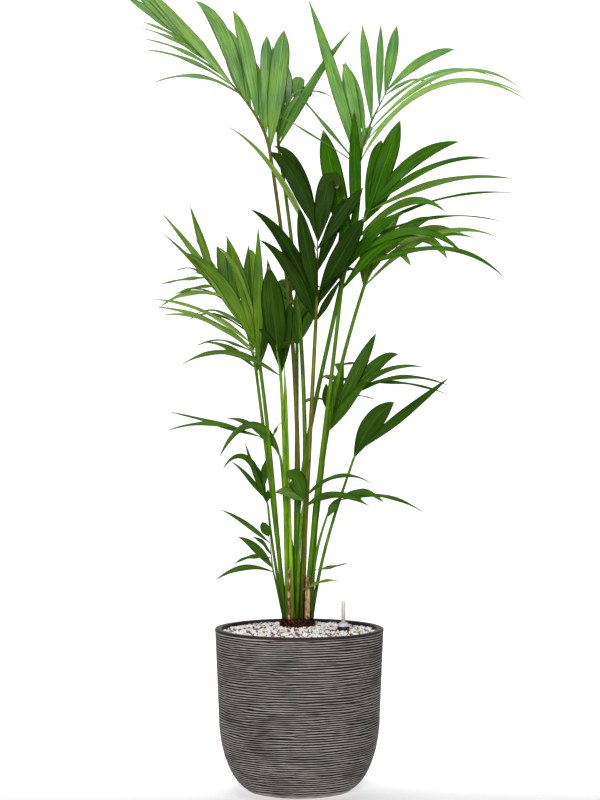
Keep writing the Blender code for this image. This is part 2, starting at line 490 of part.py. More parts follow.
def leaflet_at(leaflet, u):
    """Point, tangent and normal at share u of the leaflet's length."""
    place = u * (len(leaflet.points) - 1)
    i = min(int(place), len(leaflet.points) - 2)
    t = place - i
    return (
        leaflet.points[i].lerp(leaflet.points[i + 1], t),
        leaflet.tangents[i].lerp(leaflet.tangents[i + 1], t).normalized(),
        leaflet.normals[i].lerp(leaflet.normals[i + 1], t).normalized(),
    )


# Ways to move a leaflet that would touch something: degrees about the rib, lean toward the rib, share of length
NUDGES = [(0, 0.0, 1.0)] + [
    (turn * sign, bend, share)
    for share in (1.0, 0.9, 0.8)
    for turn in (5, 10, 16, 23)
    for bend in (0.0, 0.10, -0.10)
    for sign in (1, -1)
]


def rank_leaflets(frond, rank, dice, is_clear):
    """The leaflets of one rank, each turned or shortened until is_clear says so."""
    controls = rib_controls(frond)
    rib_length = (controls[-1] - controls[0]).length
    first, last = Vector(rank.first).normalized(), Vector(rank.last).normalized()
    spread = 1.0 if rank.count > 1 else CHANCE_LONE
    grown = []
    for i in range(rank.count):
        t = i / max(1, rank.count - 1)
        at = max(between(rank.span, t), ROOT_CLEAR / rib_length)
        root = bezier(controls, at)
        tangent = (bezier(controls, at + 0.01) - bezier(controls, at - 0.01)).normalized()
        chance = Vector([dice.uniform(-CHANCE_WAY, CHANCE_WAY) for _ in range(3)]) * spread
        direction = (first.lerp(last, t) + chance).normalized()
        length = between(rank.length, t) * (1 + dice.uniform(-CHANCE_LENGTH, CHANCE_LENGTH) * spread)
        width = rank.width * (1 + dice.uniform(-CHANCE_WIDTH, CHANCE_WIDTH) * spread)
        droop = between(rank.droop, t) * (1 + dice.uniform(-CHANCE_DROOP, CHANCE_DROOP) * spread)
        if rank.tip:
            direction, length = aimed(root, Vector(rank.tip), droop, rank)
        twist = Quaternion(direction, math.radians(dice.uniform(-CHANCE_TWIST, CHANCE_TWIST) * spread))
        for turn, bend, share in NUDGES:
            about_rib = Quaternion(tangent, math.radians(turn))
            way = (about_rib @ direction + tangent * bend).normalized()
            face = across(way, twist @ Vector(rank.faces))
            leaflet = grow_leaflet(root, way, face, length * share, width, droop, rank)
            if is_clear(leaflet):
                grown.append(leaflet)
                break
    return grown


def thickness(leaflet):
    return max(leaflet.length * THICKNESS_SHARE, LEAST_THICKNESS)


def blade_sections(leaflet, stations, grown=0.0):
    """Four-cornered cross-sections of a leaflet: left edge, upper midrib, right edge, lower midrib."""
    sections = []
    for u in stations:
        point, tangent, normal = leaflet_at(leaflet, u)
        half = leaflet.width * blade_width(u, leaflet.widest) / 2
        side = tangent.cross(normal).normalized()
        drop = normal * half * BLADE_FOLD
        body = normal * (thickness(leaflet) / 2 + grown)
        sections.append([
            point - side * (half + grown) - drop,
            point + body,
            point + side * (half + grown) - drop,
            point - body,
        ])
    return sections


def loft(sections, end):
    """Points and faces of a closed body through sections, which narrows to the point end."""
    count = len(sections[0])
    points = [p for section in sections for p in section] + [end]
    faces = [tuple(range(count))]
    for i in range(len(sections) - 1):
        for k in range(count):
            a, b = i * count + k, i * count + (k + 1) % count
            faces.append((a, a + count, b + count, b))
    last = (len(sections) - 1) * count
    faces += [(last + k, len(points) - 1, last + (k + 1) % count) for k in range(count)]
    return points, faces


def tube_sections(points, radii, sides=6):
    """Round cross-sections along points."""
    sections = []
    for i, point in enumerate(points):
        ahead = (points[min(i + 1, len(points) - 1)] - points[max(i - 1, 0)]).normalized()
        first = across(ahead, Vector((0.3, 1.0, 0.1)))
        second = ahead.cross(first)
        angles = [2 * math.pi * k / sides for k in range(sides)]
        sections.append([point + (first * math.cos(a) + second * math.sin(a)) * radii[i] for a in angles])
    return sections


def tree_of(points, faces):
    return BVHTree.FromPolygons(points, faces, epsilon=0.0)


def tube_tree(points, radii):
    return tree_of(*loft(tube_sections(points, radii), points[-1]))


def grow_all():
    """Every frond with its leaflets, each leaflet tested against all that already stands."""
    taken = []
    for frond in FRONDS:
        stalk = stalk_points(frond)
        taken.append((frond.name + "_stalk", tube_tree(stalk, stalk_radii(frond))))
        rib = sampled(rib_controls(frond), RIB_STEPS)
        taken.append((frond.name, tube_tree(rib, rib_radii(frond))))
    for stem in STEMS:
        taken.append((stem.name, tube_tree(stem_points(stem), stem_radii(stem))))
    result = []
    for frond in FRONDS:
        own = []

        def is_clear(leaflet):
            whole = tree_of(*loft(blade_sections(leaflet, BLADE_STATIONS, CLEARANCE), leaflet.points[-1]))
            if any(whole.overlap(tree) for name, tree in taken if name != frond.name):
                return False
            outer = tree_of(*loft(blade_sections(leaflet, OUTER_STATIONS), leaflet.points[-1]))
            if any(outer.overlap(tree) for tree in own):
                return False
            own.append(outer)
            taken.append((frond.name, whole))
            return True

        dice = random.Random(frond.seed)
        leaflets = [leaflet for rank in frond.ranks for leaflet in rank_leaflets(frond, rank, dice, is_clear)]
        result.append((frond, leaflets))
    return result


def material(name, colour, roughness=0.6):
    """A plain surface of this colour, made once for each name."""
    surface = bpy.data.materials.get(name) or bpy.data.materials.new(name)
    surface.use_nodes = True
    surface.diffuse_color = (*colour, 1.0)
    shader = surface.node_tree.nodes["Principled BSDF"]
    shader.inputs["Base Color"].default_value = (*colour, 1.0)
    shader.inputs["Roughness"].default_value = roughness
    return surface


def collection(name):
    group = bpy.data.collections.new(name)
    bpy.context.scene.collection.children.link(group)
    return group


def add_object(name, data, group, surface=None):
    piece = bpy.data.objects.new(name, data)
    group.objects.link(piece)
    if surface:
        data.materials.append(surface)
    return piece


def mesh_of(name, points, faces):
    mesh = bpy.data.meshes.new(name)
    mesh.from_pydata(points, [], faces)
    return mesh


def turned(name, profile, steps, group, surface):
    """A solid of revolution about Z from an (r, z) profile that runs down its outer side."""
    points = [(radius, 0.0, height) for radius, height in profile]
    mesh = bpy.data.meshes.new(name)
    mesh.from_pydata(points, [(i, i + 1) for i in range(len(points) - 1)], [])
    piece = add_object(name, mesh, group, surface)
    screw = piece.modifiers.new("Turn", "SCREW")
    screw.steps = steps
    screw.render_steps = steps
    screw.use_merge_vertices = True
    screw.merge_threshold = WELD
    return piece


def limb(name, points, radii, group, surface, roundness=1):
    """A single tapering limb along points, with 4 sides and 2 more for each step of roundness."""
    curve = bpy.data.curves.new(name, "CURVE")
    curve.dimensions = "3D"
    curve.bevel_depth = radii[0]
    curve.bevel_resolution = roundness
    curve.use_fill_caps = True
    spline = curve.splines.new("POLY")
    spline.points.add(len(points) - 1)
    for knot, point, radius in zip(spline.points, points, radii):
        knot.co = (*point, 1.0)
        knot.radius = radius / radii[0]
    return add_object(name, curve, group, surface)


def as_mesh(piece):
    """Replaces a curve object by the same shape as one welded mesh."""
    graph = bpy.context.evaluated_depsgraph_get()
    mesh = bpy.data.meshes.new_from_object(piece.evaluated_get(graph))
    work = bmesh.new()
    work.from_mesh(mesh)
    bmesh.ops.remove_doubles(work, verts=work.verts, dist=WELD)
    bmesh.ops.recalc_face_normals(work, faces=work.faces)
    work.to_mesh(mesh)
    work.free()
    name, group = piece.name, piece.users_collection[0]
    curve = piece.data
    bpy.data.objects.remove(piece)
    bpy.data.curves.remove(curve)
    return add_object(name, mesh, group)


def pot_outer_radius(height):
    """Radius of the planter's outer side at this height."""
    if height >= POT_WAIST_HEIGHT:
        share = (height - POT_WAIST_HEIGHT) / (POT_HEIGHT - POT_WAIST_HEIGHT)
        return POT_WAIST_RADIUS + (POT_RIM_RADIUS - POT_WAIST_RADIUS) * share
    down = (POT_WAIST_HEIGHT - height) / POT_WAIST_HEIGHT
    swell = (1 - down**POT_BELLY_POWER) ** (1 / POT_BELLY_POWER)
    return POT_BELLY_CENTRE + (POT_WAIST_RADIUS - POT_BELLY_CENTRE) * swell


def belly_heights(low):
    """Heights from the waist down to low, closer together where the belly turns in faster."""
    steps = POT_BELLY_POINTS
    turn = math.acos(low / POT_WAIST_HEIGHT)
    return [POT_WAIST_HEIGHT * math.cos(turn * i / steps) for i in range(steps + 1)]


def pot_inside(gap=0.0):
    """Profile of the space inside the planter, from its floor up to the rim, gap clear of the wall."""
    low = POT_FLOOR + gap
    heights = list(reversed(belly_heights(POT_FLOOR)))[1:]
    sides = [(pot_outer_radius(height) - POT_WALL - gap, height) for height in heights]
    return [(pot_outer_radius(POT_FLOOR) - POT_WALL - gap, low)] + sides


def build_planter(group):
    rim = POT_RIM_RADIUS
    inner = rim - POT_WALL
    profile = [(0.0, POT_FLOOR)] + pot_inside()
    profile += [(inner, POT_HEIGHT - POT_LIP), (inner + POT_LIP, POT_HEIGHT)]
    profile += [(rim - POT_LIP, POT_HEIGHT), (rim, POT_HEIGHT - POT_LIP)]
    profile += [(pot_outer_radius(height), height) for height in belly_heights(POT_FOOT_EDGE)]
    profile += [(POT_FOOT_RADIUS, 0.0), (0.0, 0.0)]
    return turned("planter", profile, POT_STEPS, group, material("planter grey", PLANTER_GREY, 0.7))


def cut(piece, cutter):
    """Takes cutter out of piece, and leaves both as plain objects."""
    modifier = piece.modifiers.new("Cut", "BOOLEAN")
    modifier.operation = "DIFFERENCE"
    modifier.object = cutter
    cutter.hide_render = True
    cutter.display_type = "WIRE"


def build_granules(group, cutters):
    edge = pot_outer_radius(GRANULE_EDGE_HEIGHT) - POT_WALL - FIT
    inside = list(reversed(pot_inside(FIT)))
    profile = [(0.0, GRANULE_CROWN_HEIGHT), (GRANULE_FLAT_RADIUS, GRANULE_CROWN_HEIGHT)]
    profile += [(edge, GRANULE_EDGE_HEIGHT)] + inside + [(0.0, POT_FLOOR + FIT)]
    fill = turned("granules", profile, POT_STEPS, group, material("granule white", GRANULE_WHITE, 0.8))
    work = bmesh.new()
    radius = GAUGE_BASE_RADIUS + FIT
    depth = POT_HEIGHT - GAUGE_FOOT + FIT
    bmesh.ops.create_cone(work, cap_ends=True, segments=GAUGE_STEPS, radius1=radius, radius2=radius, depth=depth)
    mesh = bpy.data.meshes.new("gauge_seat")
    work.to_mesh(mesh)
    work.free()
    seat = add_object("gauge_seat", mesh, cutters)
    seat.location = (*GAUGE_AT, GAUGE_FOOT - FIT + depth / 2)
    cut(fill, seat)
    return fill


def build_crown(group):
    """The root crown: a low drum with a lobed outline and flat ends."""
    work = bmesh.new()
    bottom = GRANULE_CROWN_HEIGHT + FIT
    depth = CROWN_TOP - bottom
    bmesh.ops.create_cone(
        work,
        cap_ends=True,
        segments=CROWN_SIDES,
        radius1=CROWN_RADIUS,
        radius2=CROWN_TOP_RADIUS,
        depth=depth,
    )
    for vert in work.verts:
        angle = math.atan2(vert.co.y, vert.co.x)
        lobe = 1 + CROWN_LOBE_DEPTH * math.cos(CROWN_LOBES * angle)
        vert.co.x = vert.co.x * lobe + CROWN_AT[0]
        vert.co.y = vert.co.y * lobe + CROWN_AT[1]
        vert.co.z += bottom + depth / 2
    mesh = bpy.data.meshes.new("root_crown")
    work.to_mesh(mesh)
    work.free()
    return add_object("root_crown", mesh, group, material("crown brown", CROWN_BROWN, 0.9))


def build_gauge(group):
    """The water gauge: a base let into the granules, a clear dome, and a clear tube over a red float."""
    dome_foot = GAUGE_FOOT + GAUGE_BASE_HEIGHT
    dome_top = dome_foot + GAUGE_DOME_HEIGHT
    base = [(0.0, dome_foot), (GAUGE_BASE_RADIUS, dome_foot), (GAUGE_BASE_RADIUS, GAUGE_FOOT), (0.0, GAUGE_FOOT)]
    narrow = GAUGE_TUBE_RADIUS + GAUGE_COLLAR
    wide = GAUGE_BASE_RADIUS - GAUGE_STEP
    dome = [(0.0, dome_top)]
    for i in range(GAUGE_DOME_POINTS + 1):
        angle = math.pi / 2 * i / GAUGE_DOME_POINTS
        low = dome_foot + FIT
        dome.append((narrow + (wide - narrow) * math.sin(angle), low + (dome_top - low) * math.cos(angle)))
    dome.append((0.0, dome_foot + FIT))
    foot = dome_top + FIT
    top = dome_top + GAUGE_TUBE_LENGTH
    inner = GAUGE_TUBE_RADIUS - GAUGE_TUBE_WALL
    tube = [(0.0, top), (GAUGE_TUBE_RADIUS, top), (GAUGE_TUBE_RADIUS, foot), (inner, foot)]
    tube += [(inner, top - GAUGE_TUBE_WALL), (0.0, top - GAUGE_TUBE_WALL)]
    rise = foot + GAUGE_FLOAT_HEIGHT
    bead = [(0.0, rise), (GAUGE_FLOAT_RADIUS, rise), (GAUGE_FLOAT_RADIUS, foot), (0.0, foot)]
    clear = material("gauge clear", GAUGE_CLEAR, 0.2)
    for name, profile, surface in (
        ("gauge_base", base, material("gauge dark", GAUGE_DARK, 0.4)),
        ("gauge_dome", dome, clear),
        ("gauge_tube", tube, clear),
        ("gauge_float", bead, material("float red", FLOAT_RED, 0.4)),
    ):
        piece = turned(name, profile, GAUGE_STEPS, group, surface)
        piece.location = (*GAUGE_AT, 0.0)


def build_stalk(frond, group):
    points, radii = stalk_points(frond), stalk_radii(frond)
    rib = sampled(rib_controls(frond), RIB_STEPS)
    last, first = points[-1] - points[-2], rib[1] - rib[0]
    points[-1] -= last.normalized() * (FIT + radii[-1] * math.sin(last.angle(first)))
    limb(frond.name + "_stalk", points, radii, group, material("stalk green", STALK_GREEN, 0.45))


def drop_sealed_hollows(mesh):
    """Keeps the outermost closed shell of a mesh, which fills any hollow that the joining sealed."""
    work = bmesh.new()
    work.from_mesh(mesh)
    left = set(work.faces)
    shells = []
    while left:
        shell, edge = [], [left.pop()]
        while edge:
            face = edge.pop()
            shell.append(face)
            for line in face.edges:
                for other in line.link_faces if len(line.link_faces) == 2 else ():
                    if other in left:
                        left.remove(other)
                        edge.append(other)
        shells.append(shell)
    shells.sort(key=lambda faces: sum(face.calc_area() for face in faces))
    for shell in shells[:-1]:
        bmesh.ops.delete(work, geom=shell, context="FACES")
    work.to_mesh(mesh)
    work.free()


def build_blade(frond, leaflets, group):
    """Rib and leaflets as one solid: the leaflets' roots are sunk in the rib, and one union joins them."""
    surface = material("blade green", BLADE_GREEN, 0.5)
    rib = sampled(rib_controls(frond), RIB_STEPS)
    piece = as_mesh(limb(frond.name, rib, rib_radii(frond), group, None, roundness=0))
    parts = collection(frond.name + "_leaflets")
    for i, leaflet in enumerate(leaflets):
        points, faces = loft(blade_sections(leaflet, BLADE_STATIONS), leaflet.points[-1])
        mesh = mesh_of(f"{frond.name}_leaflet_{i}", points, faces)
        work = bmesh.new()
        work.from_mesh(mesh)
        bmesh.ops.recalc_face_normals(work, faces=work.faces)
        work.to_mesh(mesh)
        work.free()
        add_object(mesh.name, mesh, parts)
    union = piece.modifiers.new("Union", "BOOLEAN")
    union.operation = "UNION"
    union.operand_type = "COLLECTION"
    union.collection = parts
    union.solver = UNION_SOLVER
    bpy.context.view_layer.update()
    graph = bpy.context.evaluated_depsgraph_get()
    joined = bpy.data.meshes.new_from_object(piece.evaluated_get(graph))
    for helper in list(parts.objects):
        bpy.data.objects.remove(helper)
    bpy.data.collections.remove(parts)
    bpy.data.objects.remove(piece)
    drop_sealed_hollows(joined)
    joined.materials.clear()
    return add_object(frond.name, joined, group, surface)


def main():
    for old in list(bpy.data.objects):
        bpy.data.objects.remove(old)
    palm = collection("kentia_palm")
    cutters = collection("cutters")
    build_planter(palm)
    build_granules(palm, cutters)
    build_crown(palm)
    build_gauge(palm)
    for stem in STEMS:
        limb(stem.name, stem_points(stem), stem_radii(stem), palm, material(stem.name, stem.colour))
    for frond, leaflets in grow_all():
        build_stalk(frond, palm)
        build_blade(frond, leaflets, palm)


if __name__ == "__main__":
    main()
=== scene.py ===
"""Looks of the kentia palm: fine leaflets, stalks, a combed planter, mineral granules and a water gauge.

Metres, +Z up. The leaflets grow by the source's own rule, written again here, and are drawn finer:
each has a raised midrib, pleats, a fold, a twist and a wavy edge. -Y is the side that the camera sees.
"""

import math
import random
from dataclasses import dataclass

import bmesh
import bpy
import numpy as np
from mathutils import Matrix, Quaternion, Vector
from mathutils.bvhtree import BVHTree


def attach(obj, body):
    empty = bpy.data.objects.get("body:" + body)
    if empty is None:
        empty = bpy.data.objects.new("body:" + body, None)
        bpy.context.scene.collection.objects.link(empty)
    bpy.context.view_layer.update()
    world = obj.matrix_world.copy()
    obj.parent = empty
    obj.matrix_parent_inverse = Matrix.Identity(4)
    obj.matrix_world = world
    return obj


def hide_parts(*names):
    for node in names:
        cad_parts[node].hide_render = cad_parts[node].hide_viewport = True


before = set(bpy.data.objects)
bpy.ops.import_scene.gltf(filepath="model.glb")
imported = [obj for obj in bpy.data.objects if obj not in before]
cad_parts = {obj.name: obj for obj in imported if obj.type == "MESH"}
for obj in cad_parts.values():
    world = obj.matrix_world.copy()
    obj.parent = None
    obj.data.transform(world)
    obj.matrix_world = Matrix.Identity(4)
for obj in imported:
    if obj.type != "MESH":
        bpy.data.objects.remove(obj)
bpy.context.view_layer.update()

UP = Vector((0.0, 0.0, 1.0))


# Stalks and blades
STALK_STEPS = 10
STEM_STEPS = 6
STALK_HEEL = 0.008  # the lowest bit of a stalk, which stands upright on the root crown
STALK_FOOT_RADIUS = 0.0060
STALK_KNEE_RADIUS = 0.0046
THIN_KNEE_HEIGHT = 0.45  # stalks that reach no higher have the least share of the full thickness
FULL_KNEE_HEIGHT = 1.15  # stalks that reach this high have the full thickness
THIN_SHARE = 0.46
STALK_LOWER = 0.40  # shares of the rise at which the stalk's two middle control points lie
STALK_UPPER = 0.36
RIB_STEPS = 6
RIB_START = 0.33  # shares of the rib's chord at which its two middle control points lie
RIB_SHOULDER = 0.67
RIB_TIP_RADIUS = 0.0014
ROOT_CLEAR = 0.0090  # the first leaflet leaves the rib this far beyond the knee
BLADE_STATIONS = (0.0, 0.30, 0.60, 0.84)  # shares of a leaflet's length that get a cross-section
BLADE_POINT_POWER = 1.8  # how full a leaflet stays towards its point
BLADE_ROOT_SHARE = 0.12  # width at the root, as a share of the widest
BLADE_FOLD = 0.14  # drop of the edges below the midrib, as a share of half the width
OUTER_STATIONS = (0.25, 0.40, 0.60, 0.84)  # the part of a leaflet that stays clear of its neighbours
THICKNESS_SHARE = 0.0105  # leaflet thickness over length
LEAST_THICKNESS = 0.0022

# Chance, as the widest share or turn either way
CHANCE_WAY = 0.05
CHANCE_LENGTH = 0.05
CHANCE_WIDTH = 0.08
CHANCE_DROOP = 0.15
CHANCE_TWIST = 12.0  # degrees
CHANCE_LONE = 0.25  # share of all this chance that a leaflet which is a rank of its own gets

AIM_ROUNDS = 40  # steps in which a lone leaflet is aimed at its tip
AIM_SHARE = 0.6  # share of what is left to the tip that each step mends

FIT = 0.0003  # gap between solids that rest on each other
CLEARANCE = 0.0009  # gap between leaflets of different fronds
CROWN_TOP = 0.436


@dataclass
class Rank:
    """Leaflets along one side of a rib, from first to last. Directions are (right, away, up), of any length."""

    count: int
    first: tuple
    last: tuple
    length: tuple  # metres, for the first leaflet, halfway and the last
    droop: tuple  # how far gravity bends the first and the last leaflet
    width: float
    faces: tuple = (0.0, -0.5, 1.0)  # where the upper faces look
    span: tuple = (0.0, 0.98)  # shares of the rib between which the leaflets stand
    sag: float = 1.5  # power of the length with which a leaflet bends: the higher, the nearer its tip
    widest: float = 0.40  # share of the length at which a leaflet is widest
    tip: tuple = ()  # (x, y, z) where a lone leaflet ends, which then decides its direction and length


@dataclass
class Frond:
    """One leaf of the palm. Positions are in metres."""

    name: str
    foot: tuple  # (x, y) on top of the root crown
    knee: tuple  # (x, y, z) where the leaflets begin
    tip: tuple  # (x, y, z) where the rib ends
    seed: int
    ranks: list
    aim: tuple = (0.0, 0.0, 1.0)  # direction of the stalk where it becomes the rib
    bend: tuple = (0.0, 0.0)  # (x, y) by which the stalk's lower part stands off the straight line
    arch: float = 0.10  # bow of the rib, as a share of its length
    swell: float = 0.08  # how much thicker the stalk is halfway up than an even taper


@dataclass
class Stem:
    """A stem without leaflets: the remains of an old leaf, or a new leaf that is still furled."""

    name: str
    foot: tuple
    top: tuple
    foot_radius: float
    top_radius: float
    bend: tuple = (0.0, 0.0)


SKY = (0.0, 0.0, 1.0)
TILTED = (0.0, -0.7, 0.85)
FRONT = (0.0, -1.0, 0.3)


def shares(values, whole=100):
    return tuple(value / whole for value in values)


# In lone, tilted and several, places, lengths and widths are in millimetres, and all else is in hundredths.


def lone(at, tip, droop, width, widest=40, sag=150, faces=FRONT):
    """A rank of one leaflet, which leaves the rib at this share of its length and ends at tip (x, y, z)."""
    tip, width = shares(tip, 1000), width / 1000
    at, droop, widest, sag = shares((at, droop, widest, sag))
    return Rank(1, tip, tip, (0.0,) * 3, (droop,) * 2, width, faces, (at, at), sag, widest, tip)


def tilted(at, tip, droop, width, sag=150, widest=40):
    """A lone leaflet whose upper face looks up and to the front."""
    return lone(at, tip, droop, width, widest, sag, TILTED)


def several(count, first, last, length, droop, width, faces, span=(0, 98)):
    """A rank of leaflets. first and last are the directions of its ends."""
    first, last, droop, span = map(shares, (first, last, droop, span))
    return Rank(count, first, last, shares(length, 1000), droop, width / 1000, faces, span)


